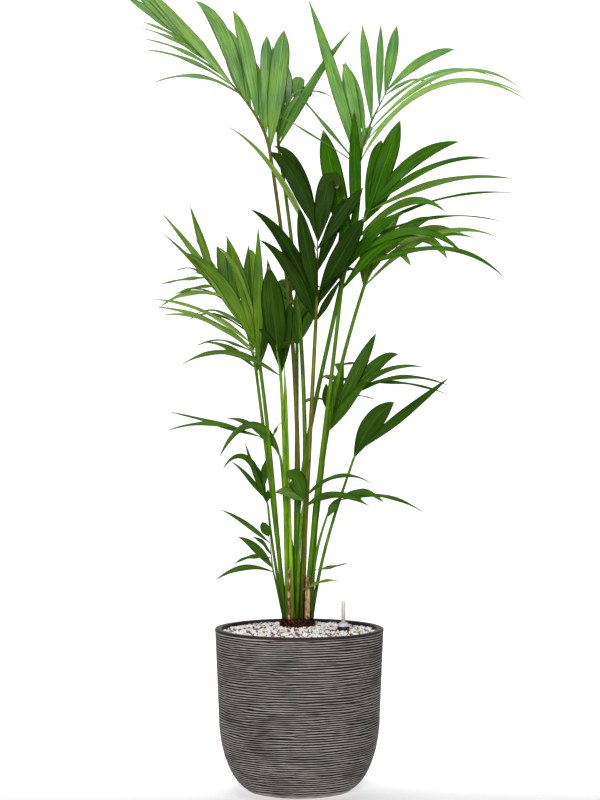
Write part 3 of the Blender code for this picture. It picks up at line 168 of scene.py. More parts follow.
FRONDS = [
    Frond("crest_left", (-0.0049, 0.0216), (-0.076, 0.080, 1.636), (-0.287, 0.130, 1.939), 3, [
        lone(2, (-41, 34, 1947), 10, 50, 62), lone(13, (-83, 54, 1936), 15, 34, 64),
        lone(27, (-170, 49, 2001), 78, 38, 56), lone(42, (-270, 72, 2030), 80, 42, 52),
        lone(36, (-191, 154, 1975), 50, 36, 60), lone(18, (-117, 145, 1886), 20, 30, 60),
        lone(56, (-411, 65, 2082), 12, 31, 45), lone(68, (-432, 98, 2087), 15, 30, 45),
        lone(82, (-447, 121, 2079), 15, 28, 45), lone(98, (-467, 140, 2067), 12, 26, 45),
        tilted(48, (-383, 72, 1814), 105, 18, 90), tilted(55, (-406, 71, 1902), 62, 16, 100),
        tilted(64, (-410, 89, 1936), 55, 16, 100), tilted(74, (-417, 106, 1966), 50, 16, 100),
        tilted(84, (-421, 122, 1992), 45, 16, 100),
        several(3, (-5, 60, 100), (-45, 50, 80), (240, 250, 240), (30, 45), 34, FRONT, (15, 75)),
    ], aim=(-0.155, 0.10, 1.0), bend=(0.038, -0.010), arch=0.03),
    Frond("crest_back", (0.0027, 0.0348), (-0.054, 0.170, 1.658), (0.010, 0.400, 1.840), 5, [
        lone(0, (142, 207, 1984), 42, 26, faces=(0.4, -0.6, 0.8)), lone(8, (31, 238, 1825), 85, 28, 50),
        lone(32, (50, 255, 1798), 135, 22, sag=100, faces=SKY),
        lone(72, (101, 358, 1814), 140, 16, sag=100, faces=SKY),
        several(5, (-15, 30, 95), (10, 90, 50), (220, 270, 200), (30, 100), 38, FRONT, (15, 98)),
    ], aim=(-0.15, 0.20, 1.0), bend=(0.050, -0.020), arch=0.12),
    Frond("crest_right", (-0.0095, -0.0055), (0.153, 0.030, 1.589), (0.234, 0.160, 1.816), 7, [
        lone(0, (22, -16, 2016), 25, 35, 46), lone(16, (118, 46, 1866), 22, 36, 62),
        lone(34, (112, 106, 1874), 80, 30, 55), lone(54, (168, 126, 1978), 8, 29, 52),
        lone(75, (214, 160, 1986), 5, 21, 50), lone(92, (259, 187, 1988), 3, 32, 55),
        lone(98, (411, 157, 1919), 65, 26, 55, 130), tilted(5, (588, -20, 1755), 125, 18, 75),
        tilted(25, (590, 41, 1770), 125, 16, 120), tilted(38, (590, 79, 1792), 135, 16),
        tilted(62, (535, 128, 1828), 115, 14, 120), lone(0, (-41, -93, 1807), 4, 18, faces=SKY),
        lone(3, (-69, -73, 1722), 10, 11, faces=SKY),
        several(2, (10, 90, 60), (50, 70, 60), (280, 270, 260), (70, 90), 26, SKY, (20, 90)),
    ], aim=(0.09, 0.04, 1.0), bend=(-0.083, -0.006), arch=0.04),
    Frond("centre_front", (0.0038, -0.0179), (0.041, -0.090, 1.181), (0.047, -0.050, 1.429), 9, [
        lone(14, (-122, -162, 1468), 80, 40, 42, 120), lone(4, (-98, -176, 1390), 72, 34, 42),
        lone(25, (-9, -152, 1472), 0, 40, 50), lone(75, (-185, -139, 1677), 73, 16, sag=120),
        lone(97, (-80, -86, 1615), 87, 46, 50, 200), lone(87, (-67, -29, 1637), 100, 36, 55),
        lone(86, (95, -70, 1528), 220, 50, 62, 500), lone(20, (160, -158, 1446), 28, 52, 55),
        lone(78, (160, -78, 1529), 5, 33, 56), lone(4, (104, -139, 1296), 10, 18),
        lone(55, (116, -27, 1512), 15, 36, 52),
        several(2, (45, -75, 60), (-45, -75, 60), (200, 200, 200), (90, 90), 28, TILTED, (30, 60)),
    ], aim=(0.05, -0.05, 1.0), arch=0.0),
    Frond("centre_right", (0.0167, -0.0037), (0.104, -0.030, 1.248), (0.186, 0.040, 1.496), 11, [
        lone(95, (262, 37, 1715), 5, 52, 52), lone(88, (212, 81, 1670), 10, 44, 62),
        lone(42, (65, 68, 1696), 5, 57, 58), lone(60, (126, 29, 1737), 2, 34, 50),
        lone(98, (409, 10, 1662), 75, 34, 50, 120), tilted(97, (493, -3, 1608), 82, 24, 140),
        tilted(93, (547, -42, 1551), 70, 28, 130, 45), tilted(62, (371, -56, 1466), 142, 31, 200, 45),
        tilted(40, (410, -101, 1361), 150, 34, 160, 45), tilted(28, (516, -152, 1288), 140, 25, 220),
        tilted(66, (592, 125, 1534), 62, 14, 120), tilted(55, (556, 109, 1451), 75, 14, 120),
        tilted(10, (304, -71, 1407), 95, 34, widest=45), tilted(30, (276, -30, 1466), 80, 36, widest=48),
        lone(8, (136, 43, 1496), 10, 34, 52),
        several(2, (10, 60, 90), (40, 60, 80), (280, 270, 260), (30, 50), 40, FRONT, (25, 80)),
    ], aim=(0.11, 0.0, 1.0), bend=(-0.010, 0.0), arch=0.05),
    Frond("right_mid", (0.0307, 0.0074), (0.165, 0.070, 1.279), (0.264, 0.130, 1.405), 13, [
        tilted(2, (520, 14, 1406), 114, 24, 130), tilted(50, (460, 87, 1412), 95, 24),
        tilted(98, (388, 102, 1361), 210, 32, 130, 45), tilted(92, (292, 106, 1343), 60, 22),
        lone(5, (174, 85, 1410), 5, 32, 55), lone(30, (224, 101, 1421), 10, 34, 55),
        several(4, (5, 55, 90), (75, 50, 60), (200, 240, 220), (40, 90), 34, FRONT, (15, 95)),
    ], aim=(0.32, 0.10, 1.0), bend=(-0.045, 0.0), arch=0.12),
    Frond("left_mid", (-0.0373, -0.0121), (-0.102, -0.050, 1.095), (-0.220, -0.090, 1.310), 15, [
        lone(98, (-276, -108, 1481), 5, 21, 36), lone(20, (-347, -138, 1461), 26, 24, 36),
        lone(10, (-295, -149, 1363), 84, 32, 42, 100), lone(14, (-261, -71, 1404), 10, 24, 42),
        lone(30, (-345, -95, 1417), 30, 15), lone(6, (-210, -96, 1377), 89, 26, 42),
        lone(3, (-185, -35, 1414), 60, 30, 50), lone(0, (-102, -118, 1428), 3, 29, 42),
        lone(5, (-135, 34, 1356), 120, 28, 45), lone(12, (-176, -114, 1345), 50, 17),
        tilted(95, (-355, -95, 1282), 38, 14, 100), tilted(85, (-327, -103, 1251), 70, 15, 100),
        tilted(72, (-351, -112, 1223), 115, 17), tilted(12, (-371, -142, 1244), 70, 17, 90),
        tilted(8, (-370, -96, 1226), 62, 18, 110), tilted(4, (-351, -147, 1202), 85, 16),
        several(2, (-60, 60, 60), (-50, 70, 60), (240, 230, 220), (90, 90), 24, SKY, (30, 80)),
    ], aim=(-0.14, -0.05, 1.0), arch=0.03),
    Frond("left_back", (-0.0340, 0.0188), (-0.110, 0.050, 1.055), (-0.189, 0.160, 1.284), 17, [
        tilted(8, (-249, 66, 1143), 75, 20),
        several(4, (-70, 60, 45), (-50, 70, 60), (200, 250, 200), (90, 60), 24, SKY, (25, 95)),
        several(5, (15, 35, 100), (-20, 60, 80), (260, 280, 220), (20, 50), 34, FRONT),
    ], aim=(-0.13, 0.06, 1.0), arch=0.08),
    Frond("left_front", (-0.0290, -0.0250), (-0.046, -0.100, 1.043), (-0.058, -0.160, 1.129), 19, [
        tilted(10, (-294, -156, 1077), 115, 23, 130, 42), lone(40, (-75, -149, 1326), 3, 60, 52),
        lone(18, (-81, -82, 1348), 5, 26, 56), lone(12, (-21, -78, 1245), 20, 30, 50),
        tilted(85, (-101, -206, 1165), 80, 24, widest=42), tilted(85, (-18, -186, 1136), 90, 24, widest=42),
    ], aim=(-0.06, -0.20, 1.0), arch=0.0, swell=0.25),
    Frond("right_low_back", (0.0257, 0.0193), (0.069, 0.050, 0.900), (0.164, 0.100, 1.040), 21, [
        lone(35, (201, 68, 1167), 5, 35, 50), lone(55, (259, 78, 1110), 90, 34, 55, 400),
        tilted(30, (320, 12, 1075), 95, 20, 90), tilted(62, (389, 41, 1039), 98, 16, 80),
        tilted(96, (399, 74, 1003), 62, 14, 100), lone(2, (179, 33, 1046), 35, 28, 45),
        several(3, (10, 60, 80), (45, 70, 60), (220, 220, 200), (50, 70), 32, FRONT, (25, 95)),
    ], aim=(0.22, 0.12, 1.0), bend=(-0.012, 0.005), arch=0.05),
    Frond("right_pair", (0.0333, -0.0040), (0.138, 0.0, 0.840), (0.147, 0.004, 0.862), 23, [
        lone(0, (243, 9, 990), 70, 52, 52, 100), lone(98, (384, -26, 1049), 4, 27, 45),
    ], aim=(0.34, 0.0, 1.0), bend=(-0.020, 0.0), arch=0.0),
    Frond("right_low", (0.0314, -0.0143), (0.071, -0.060, 0.702), (0.105, -0.080, 0.749), 25, [
        tilted(98, (212, -102, 735), 140, 21, 130, 42), tilted(70, (319, -85, 703), 110, 14, 120),
        tilted(93, (71, -96, 699), 80, 25, widest=45), tilted(90, (156, -146, 745), 100, 18, widest=42),
    ], aim=(0.36, -0.10, 1.0), bend=(-0.015, 0.0), arch=0.10),
    Frond("centre_low", (-0.0062, -0.0362), (0.007, -0.110, 0.711), (0.012, -0.130, 0.749), 27, [
        tilted(80, (-61, -141, 762), 100, 34, 80, 42), lone(98, (-26, -136, 794), 200, 46, 60, 400),
        tilted(20, (175, -156, 728), 120, 21, 70, 42), tilted(98, (182, -147, 782), 125, 14, 100),
    ], aim=(0.10, -0.30, 1.0), arch=0.0),
    Frond("left_low", (-0.0414, 0.0079), (-0.080, 0.030, 0.714), (-0.097, 0.050, 0.760), 29, [
        lone(20, (-141, 34, 887), -45, 14), lone(50, (-173, 20, 839), 50, 14, sag=300),
        tilted(90, (-196, 19, 811), 137, 18, 80, 42), lone(30, (-73, 32, 764), 20, 14),
        several(2, (-20, 60, 80), (10, 60, 80), (180, 170, 160), (90, 90), 22, FRONT, (50, 98)),
    ], aim=(-0.08, 0.06, 1.0), arch=0.0),
    Frond("left_arch", (-0.0238, 0.0293), (-0.047, 0.0, 0.836), (-0.137, 0.020, 0.913), 31, [
        tilted(0, (-202, -31, 843), 155, 20, 60, 42), tilted(30, (-189, -30, 943), 88, 20, 80),
        tilted(72, (-339, 38, 963), 17, 20), tilted(98, (-343, -12, 914), 74, 16, 100),
        lone(45, (-42, 25, 936), 90, 12, faces=SKY),
        several(1, (-50, 65, 60), (-50, 65, 60), (170, 170, 170), (80, 80), 18, SKY, (60, 60)),
    ], aim=(-0.10, -0.05, 1.0), arch=0.14),
    Frond("left_lowest", (-0.0421, -0.0020), (-0.064, -0.030, 0.547), (-0.078, -0.050, 0.652), 35, [
        tilted(8, (-213, -62, 537), 108, 18, 100, 42), lone(18, (-157, -46, 647), 62, 23, 45),
        tilted(42, (-169, -69, 575), 105, 14), lone(78, (-202, -46, 715), 40, 14),
        lone(95, (-95, -55, 684), 5, 24, 52),
        several(1, (-40, 60, 60), (-40, 60, 60), (120, 120, 120), (90, 90), 16, SKY, (50, 50)),
    ], aim=(-0.25, -0.15, 1.0), arch=0.05),
    Frond("back_mid", (-0.0107, 0.0348), (-0.006, 0.130, 1.119), (-0.022, 0.270, 1.290), 36, [
        lone(90, (-64, 251, 1305), 120, 16, sag=100), lone(5, (-6, 115, 1276), 10, 26, 45),
        several(4, (-40, 60, 80), (-20, 90, 50), (250, 260, 200), (70, 100), 34, FRONT, (10, 98)),
        several(4, (30, 65, 80), (30, 90, 50), (250, 260, 200), (70, 100), 34, FRONT, (10, 98)),
    ], aim=(0.0, 0.30, 1.0), arch=0.12),
    Frond("back_low", (0.0158, 0.0293), (0.072, 0.130, 0.960), (0.120, 0.240, 1.090), 37, [
        lone(3, (70, 133, 1038), 20, 24, 45),
        several(3, (-25, 95, 15), (-5, 98, 10), (240, 240, 180), (40, 50), 32, SKY, (20, 98)),
        several(3, (60, 80, 20), (30, 95, 10), (240, 240, 180), (40, 50), 32, SKY, (20, 98)),
    ], aim=(0.05, 0.30, 1.0), arch=0.12),
    Frond("sprout_front", (0.0065, -0.0362), (0.005, -0.050, 0.500), (0.008, -0.056, 0.512), 39, [
        tilted(98, (101, -66, 536), 70, 11), tilted(0, (-29, -58, 517), 50, 16, widest=45),
    ], aim=(-0.10, -0.20, 1.0), arch=0.0),
    Frond("sprout_right", (0.0305, -0.0240), (0.038, -0.051, 0.560), (0.044, -0.056, 0.564), 41, [
        tilted(98, (125, -64, 581), 0, 11),
    ], aim=(0.40, -0.10, 1.0), arch=0.0),
]

STEMS = [
    Stem("spear", (-0.0165, -0.0345), (-0.0380, -0.049, 1.088), 0.0058, 0.0044, (-0.001, 0.006)),
    Stem("old_sheath_right", (0.0195, -0.0300), (0.0215, -0.0450, 0.553), 0.0064, 0.0060),
    Stem("old_sheath_left", (-0.0247, 0.0009), (-0.0245, -0.0060, 0.574), 0.0046, 0.0042),
    Stem("old_stub", (-0.0229, -0.0133), (-0.0215, -0.0160, 0.512), 0.0036, 0.0030),
    Stem("old_chip", (-0.0257, -0.0345), (-0.0267, -0.0545, 0.575), 0.0030, 0.0034),
    Stem("inner_stalk_front", (-0.0165, -0.0225), (-0.0175, -0.0270, 0.640), 0.0042, 0.0030),
    Stem("inner_stalk_right", (0.0100, 0.0080), (0.0180, 0.0200, 0.660), 0.0042, 0.0030),
    Stem("inner_stalk_left", (-0.0200, 0.0135), (-0.0190, 0.0160, 0.620), 0.0042, 0.0030),
]


def bezier(points, t):
    """Point on the Bezier curve of these control points."""
    while len(points) > 1:
        points = [a.lerp(b, t) for a, b in zip(points, points[1:])]
    return points[0]


def across(direction, toward):
    """The unit vector square to direction that points most nearly toward."""
    return (toward - direction * toward.dot(direction)).normalized()


def rib_controls(frond):
    """Control points of the rib, which goes on as the stalk ends and arches over to its tip."""
    knee, tip = Vector(frond.knee), Vector(frond.tip)
    chord = tip - knee
    shoulder = knee.lerp(tip, RIB_SHOULDER) + across(chord.normalized(), UP) * frond.arch * chord.length
    return [knee, knee + Vector(frond.aim).normalized() * chord.length * RIB_START, shoulder, tip]


def stalk_controls(frond):
    """Control points of the stalk above its heel."""
    foot, knee = Vector((*frond.foot, CROWN_TOP + FIT + STALK_HEEL)), Vector(frond.knee)
    lower = foot.lerp(knee, STALK_LOWER) + Vector((*frond.bend, 0.0))
    return [foot, lower, knee - Vector(frond.aim).normalized() * (knee.z - foot.z) * STALK_UPPER, knee]


def sampled(controls, steps, start=0.0, end=1.0):
    return [bezier(controls, start + (end - start) * i / steps) for i in range(steps + 1)]


def tapered(start, end, steps):
    return [start + (end - start) * i / steps for i in range(steps + 1)]


def between(values, t):
    """Value at t of a pair (start, end) or of a triple (start, halfway, end)."""
    if len(values) == 2:
        return values[0] + (values[1] - values[0]) * t
    first, middle, last = values
    return first * (1 - t) * (1 - 2 * t) + 4 * middle * t * (1 - t) + last * t * (2 * t - 1)


def stalk_share(frond):
    """Thickness of the stalk as a share of the full one: low fronds have thin stalks."""
    height = (frond.knee[2] - THIN_KNEE_HEIGHT) / (FULL_KNEE_HEIGHT - THIN_KNEE_HEIGHT)
    return THIN_SHARE + (1 - THIN_SHARE) * min(1.0, max(0.0, height))


def stalk_radii(frond):
    """Radii of the stalk from foot to knee: an even taper that swells halfway up."""
    share = stalk_share(frond)
    even = tapered(STALK_FOOT_RADIUS * share, STALK_KNEE_RADIUS * share, STALK_STEPS)
    swell = [1 + frond.swell * 4 * i * (STALK_STEPS - i) / STALK_STEPS**2 for i in range(STALK_STEPS + 1)]
    return [radius * more for radius, more in zip(even, swell)]


def stalk_points(frond):
    """The stalk's middle line, from the root crown up to the knee."""
    above = sampled(stalk_controls(frond), STALK_STEPS - 1)
    return [above[0] - UP * STALK_HEEL] + above


def rib_radii(frond):
    return tapered(STALK_KNEE_RADIUS * stalk_share(frond), RIB_TIP_RADIUS * stalk_share(frond), RIB_STEPS)


def stem_points(stem, steps=STEM_STEPS):
    """The stem's middle line, from the root crown up to its top."""
    foot, top = Vector((*stem.foot, CROWN_TOP + FIT + STALK_HEEL)), Vector(stem.top)
    middle = foot.lerp(top, 0.5) + Vector((*stem.bend, 0.0))
    return [foot - UP * STALK_HEEL] + sampled([foot, middle, top], steps - 1)


def stem_radii(stem, steps=STEM_STEPS):
    return tapered(stem.foot_radius, stem.top_radius, steps)


def blade_width(u, widest):
    """Width of a leaflet at share u of its length, as a share of its widest."""
    if u < widest:
        swell = math.sin(u / widest * math.pi / 2)
        return BLADE_ROOT_SHARE + (1 - BLADE_ROOT_SHARE) * swell
    return max(0.0, 1 - ((u - widest) / (1 - widest)) ** BLADE_POINT_POWER)


@dataclass
class Leaflet:
    """Centre line, tangents and face normals of one leaflet, at equal steps of its length."""

    points: list
    tangents: list
    normals: list
    length: float
    width: float
    widest: float
    droop: float
    rank: Rank


def grow_leaflet(root, direction, normal, length, width, droop, rank, steps=12):
    """A leaflet of this rank that leaves root along direction and is bent down by its own weight."""
    points, tangents, normals = [root.copy()], [], []
    for i in range(steps + 1):
        u = i / steps
        tangent = (direction - UP * droop * u**rank.sag).normalized()
        if tangents:
            normal = tangents[-1].rotation_difference(tangent) @ normal
            points.append(points[-1] + (tangents[-1] + tangent) * length / steps / 2)
        tangents.append(tangent)
        normals.append(across(tangent, normal))
    return Leaflet(points, tangents, normals, length, width, rank.widest, droop, rank)


def aimed(root, tip, droop, rank):
    """Direction and length with which a leaflet that bends by droop ends at tip."""
    reach = tip - root
    for _ in range(AIM_ROUNDS):
        leaflet = grow_leaflet(root, reach.normalized(), UP, reach.length, rank.width, droop, rank)
        reach += (tip - leaflet.points[-1]) * AIM_SHARE
    return reach.normalized(), reach.length


def leaflet_at(leaflet, u):
    """Point, tangent and normal at share u of the leaflet's length."""
    place = u * (len(leaflet.points) - 1)
    i = min(int(place), len(leaflet.points) - 2)
    t = place - i
    return (
        leaflet.points[i].lerp(leaflet.points[i + 1], t),
        leaflet.tangents[i].lerp(leaflet.tangents[i + 1], t).normalized(),
        leaflet.normals[i].lerp(leaflet.normals[i + 1], t).normalized(),
    )


# Ways to move a leaflet that would touch something: degrees about the rib, lean toward the rib, share of length
NUDGES = [(0, 0.0, 1.0)] + [
    (turn * sign, bend, share)
    for share in (1.0, 0.9, 0.8)
    for turn in (5, 10, 16, 23)
    for bend in (0.0, 0.10, -0.10)
    for sign in (1, -1)
]


def rank_leaflets(frond, rank, dice, is_clear):
    """The leaflets of one rank, each turned or shortened until is_clear says so."""
    controls = rib_controls(frond)
    rib_length = (controls[-1] - controls[0]).length
    first, last = Vector(rank.first).normalized(), Vector(rank.last).normalized()
    spread = 1.0 if rank.count > 1 else CHANCE_LONE
    grown = []
    for i in range(rank.count):
        t = i / max(1, rank.count - 1)
        at = max(between(rank.span, t), ROOT_CLEAR / rib_length)
        root = bezier(controls, at)
        tangent = (bezier(controls, at + 0.01) - bezier(controls, at - 0.01)).normalized()
        chance = Vector([dice.uniform(-CHANCE_WAY, CHANCE_WAY) for _ in range(3)]) * spread
        direction = (first.lerp(last, t) + chance).normalized()
        length = between(rank.length, t) * (1 + dice.uniform(-CHANCE_LENGTH, CHANCE_LENGTH) * spread)
        width = rank.width * (1 + dice.uniform(-CHANCE_WIDTH, CHANCE_WIDTH) * spread)
        droop = between(rank.droop, t) * (1 + dice.uniform(-CHANCE_DROOP, CHANCE_DROOP) * spread)
        if rank.tip:
            direction, length = aimed(root, Vector(rank.tip), droop, rank)
        twist = Quaternion(direction, math.radians(dice.uniform(-CHANCE_TWIST, CHANCE_TWIST) * spread))
        for turn, bend, share in NUDGES:
            about_rib = Quaternion(tangent, math.radians(turn))
            way = (about_rib @ direction + tangent * bend).normalized()
            face = across(way, twist @ Vector(rank.faces))
            leaflet = grow_leaflet(root, way, face, length * share, width, droop, rank)
            if is_clear(leaflet):
                grown.append(leaflet)
                break
    return grown


def thickness(leaflet):
    return max(leaflet.length * THICKNESS_SHARE, LEAST_THICKNESS)


def blade_sections(leaflet, stations, grown=0.0):
    """Four-cornered cross-sections of a leaflet: left edge, upper midrib, right edge, lower midrib."""
    sections = []
    for u in stations:
        point, tangent, normal = leaflet_at(leaflet, u)
        half = leaflet.width * blade_width(u, leaflet.widest) / 2
        side = tangent.cross(normal).normalized()
        drop = normal * half * BLADE_FOLD
        body = normal * (thickness(leaflet) / 2 + grown)
        sections.append([
            point - side * (half + grown) - drop,
            point + body,
            point + side * (half + grown) - drop,
            point - body,
        ])
    return sections


def loft(sections, end):
    """Points and faces of a closed body through sections, which narrows to the point end."""
    count = len(sections[0])
    points = [p for section in sections for p in section] + [end]
    faces = [tuple(range(count))]
    for i in range(len(sections) - 1):
        for k in range(count):
            a, b = i * count + k, i * count + (k + 1) % count
            faces.append((a, a + count, b + count, b))
    last = (len(sections) - 1) * count
    faces += [(last + k, len(points) - 1, last + (k + 1) % count) for k in range(count)]
    return points, faces


def tube_sections(points, radii, sides=6):
    """Round cross-sections along points."""
    sections = []
    for i, point in enumerate(points):
        ahead = (points[min(i + 1, len(points) - 1)] - points[max(i - 1, 0)]).normalized()
        first = across(ahead, Vector((0.3, 1.0, 0.1)))
        second = ahead.cross(first)
        angles = [2 * math.pi * k / sides for k in range(sides)]
        sections.append([point + (first * math.cos(a) + second * math.sin(a)) * radii[i] for a in angles])
    return sections


def tree_of(points, faces):
    return BVHTree.FromPolygons(points, faces, epsilon=0.0)


def tube_tree(points, radii):
    return tree_of(*loft(tube_sections(points, radii), points[-1]))


def grow_all():
    """Every frond with its leaflets, each leaflet tested against all that already stands."""
    taken = []
    for frond in FRONDS:
        stalk = stalk_points(frond)
        taken.append((frond.name + "_stalk", tube_tree(stalk, stalk_radii(frond))))
        rib = sampled(rib_controls(frond), RIB_STEPS)
        taken.append((frond.name, tube_tree(rib, rib_radii(frond))))
    for stem in STEMS:
        taken.append((stem.name, tube_tree(stem_points(stem), stem_radii(stem))))
    result = []
    for frond in FRONDS:
        own = []

        def is_clear(leaflet):
            whole = tree_of(*loft(blade_sections(leaflet, BLADE_STATIONS, CLEARANCE), leaflet.points[-1]))
            if any(whole.overlap(tree) for name, tree in taken if name != frond.name):
                return False
            outer = tree_of(*loft(blade_sections(leaflet, OUTER_STATIONS), leaflet.points[-1]))
            if any(outer.overlap(tree) for tree in own):
                return False
            own.append(outer)
            taken.append((frond.name, whole))
            return True

        dice = random.Random(frond.seed)
        leaflets = [leaflet for rank in frond.ranks for leaflet in rank_leaflets(frond, rank, dice, is_clear)]
        result.append((frond, leaflets))
    return result


# Fine leaflets
FINE_STEPS = 28
FINE_ACROSS = np.array([-1, -0.82, -0.65, -0.50, -0.35, -0.20, -0.06, 0, 0.06, 0.20, 0.35, 0.50, 0.65, 0.82, 1])
FINE_PLEAT = np.array([0, 0.5, 1.0, -0.4, 1.0, -0.6, 0.3, 1.6, 0.3, -0.6, 1.0, -0.4, 1.0, 0.5, 0])
PLEAT_HEIGHT = 0.00050
SHEET_MIDDLE = 0.0008  # thickness of a leaflet along its midrib and at its edges
SHEET_EDGE = 0.00025
FINE_TWIST = 0.30  # radians, at the tip
FINE_SWAY = 0.010  # sideways bend of the tip, as a share of the length
FINE_WAVE = 0.0016
TIP_POINT = 0.0002
BROAD_FROM = 0.44  # leaflets widest beyond this share of their length have rounder points
BROAD_POINT = 11.0
FINE_SEED = 1000  # what is added to a frond's seed for its fine shapes
GRAIN_FAR = 9  # how far apart the grain of two leaflets may lie in their common pattern
RIB_SIDES = 8
RIB_RINGS = 40
RIB_TIP_SHARE = 0.7  # how much thinner the fine rib is at its tip than the solid one
STALK_SIDES = 14
STALK_RINGS = 60
STEM_RINGS = 40
STEM_POINT = 5  # rings in which a green stem narrows at its top

# Planter
POT_HEIGHT = 0.410
POT_RIM_RADIUS = 0.2160
POT_WAIST_RADIUS = 0.2067
POT_WAIST_HEIGHT = 0.187
POT_BELLY_CENTRE = 0.122
POT_BELLY_POWER = 1.9
POT_FOOT_RADIUS = 0.134
POT_WALL = 0.018
POT_SKIN = 0.0004  # how far the combed side stays inside the solid one
POT_AXIS = 1e-4  # radius of the rings that stand for the points on the planter's axis
POT_COMBED_FROM = 0.006
POT_INSIDE_HEIGHTS = (0.38, 0.30, 0.20)
# The rim outside, and inside it: (outwards from the rim's or the inner radius, down from the top)
RIM_OUTSIDE = [(-0.0004, 0.0058), (0.0, 0.0045), (0.0, 0.0028), (-0.0010, 0.0009), (-0.003, 0.0)]
RIM_INSIDE = [(0.003, 0.0), (0.0008, 0.0010), (0.0, 0.003)]
POT_BAND = 0.0065  # plain band below the rim
POT_GROOVE = 0.0021
POT_PITCH = 0.0062  # from one combed line to the next
POT_WAVES = 26  # how many waves make the combed lines, how strong they are, and how they differ
POT_WAVE_SHARE = 0.34
COMB_SEED = 51
ANY_TURN = 6.3  # radians, a little more than a whole turn
POT_PITCH_SPREAD = 0.20
POT_SLOPE_SPREAD = 5
POT_ROUND = 280
POT_ROWS = 350

# Granules, root crown and gauge
GRANULE_EDGE_HEIGHT = 0.3985
GRANULE_CROWN_HEIGHT = 0.4120
GRANULE_FLAT_RADIUS = 0.055
GRANULE_REACH = 0.1955
GRANULE_SPACING = 0.0072
GRANULE_CLOSEST = 0.86  # share of the spacing that always stays between two granules
GRANULE_TRIES = 16000
GRANULE_SIZE = (0.0031, 0.0052)
GRANULE_SEED = 77
# Colour and share of each kind of granule
# The mauve and grey kinds are painted shade between the paler granules
GRANULE_KINDS = {
    "white": ((1.0, 0.97, 0.93), 0.34), "bluish": ((0.86, 1.0, 1.0), 0.22), "beige": ((0.88, 0.70, 0.59), 0.22),
    "mauve": ((0.24, 0.14, 0.14), 0.14), "grey": ((0.11, 0.08, 0.08), 0.08),
}
# The bed under the granules is painted dark: painted shade between and beneath them
BED_SHADE_COLOUR = (0.18, 0.15, 0.13)
BED_SHADE_STOPS = [(0.35, (0.03, 0.022, 0.022)), (0.65, (0.16, 0.12, 0.11))]
CROWN_AT = (-0.004, 0.0)
CROWN_RADIUS = 0.0415
CROWN_SIDES = 110
CROWN_ROWS = 30
CROWN_SEED = 13
KNOT_SEED = 4
LUMP_SEED = 9
CROWN_COLOURS = {"crown dark": (0.018, 0.007, 0.004), "crown fibre": (0.080, 0.034, 0.015)}
FIBRES = 170
FIBRE_STEPS = 8
PALE_FIBRES = 0.40  # share of the fibres that are paler
HUSK_SIDES = 28
HUSK_STOPS = [(0.30, (0.16, 0.07, 0.022)), (0.48, (0.56, 0.36, 0.17)), (0.70, (0.90, 0.70, 0.44))]
HUSK_TEAR = 0.16  # how far a dry sheath is torn down, as a share of its length
GAUGE_AT = (0.112, -0.036)
GAUGE_BASE_RADIUS = 0.0155
GAUGE_FOOT = 0.4025
GAUGE_AXIS = 1e-5
# Colour, roughness, specular, scale of the pattern, colours that it runs through, and how opaque it is
GAUGE_LOOKS = {
    "gauge dark": ((0.026, 0.016, 0.021), 0.40, 0.15, 300.0,
                   [(0.35, (0.018, 0.010, 0.014)), (0.65, (0.036, 0.023, 0.029))], 1.0),
    "gauge clear": ((0.78, 0.78, 0.84), 0.15, 0.5, 120.0, [(0.4, (0.70, 0.70, 0.76)), (0.6, (0.86, 0.86, 0.92))], 0.70),
    "gauge tube pale": ((0.80, 0.78, 0.77), 0.25, 0.5, 150.0,
                        [(0.4, (0.76, 0.74, 0.73)), (0.6, (0.84, 0.82, 0.81))], 0.78),
    "float red": ((0.60, 0.03, 0.02), 0.35, 0.5, 500.0, [(0.4, (0.50, 0.02, 0.015)), (0.6, (0.68, 0.04, 0.03))], 1.0),
    "gauge mark": ((0.80, 0.58, 0.10), 0.4, 0.5, 500.0, [(0.4, (0.76, 0.54, 0.08)), (0.6, (0.86, 0.64, 0.14))], 1.0),
}
MARK_RADII = (0.00535, 0.00560)
MARK_HEIGHTS = (0.4470, 0.4668)
MARK_HEIGHT = 0.0026
MARK_HALF_TURN = 0.55  # radians

# Stage, light and camera
STAGE_NEAR = -9.0
STAGE_FAR = 9.6
STAGE_SIDE = 9.0
STAGE_RISE = 2.0
STAGE_TOP = 6.1
SKY_LIGHT = 0.22
STAGE_GLOW = 0.95
GLOW_WIDTH = (2.1, 2.7)  # between these distances aside the glow ends, and between these further back it begins
GLOW_DEPTH = (-0.35, 0.25)
SPREAD_DEPTH = (2.0, 9.6)  # between these distances back the glow widens
SPREAD_SHARE = 1.6
# Place, size and watts of each light
LIGHTS = {
    "key": ((-0.5, -4.9, 2.0), 1.6, 190.0), "fill": ((2.9, -3.2, 2.2), 2.4, 14.0), "top": ((-0.5, 0.3, 4.8), 2.4, 85.0),
}
LIGHTS_AIM = (0.0, 0.0, 1.1)
CAMERA_AT = (0.0017, -4.9, 0.993)
CAMERA_LENS = 86.13
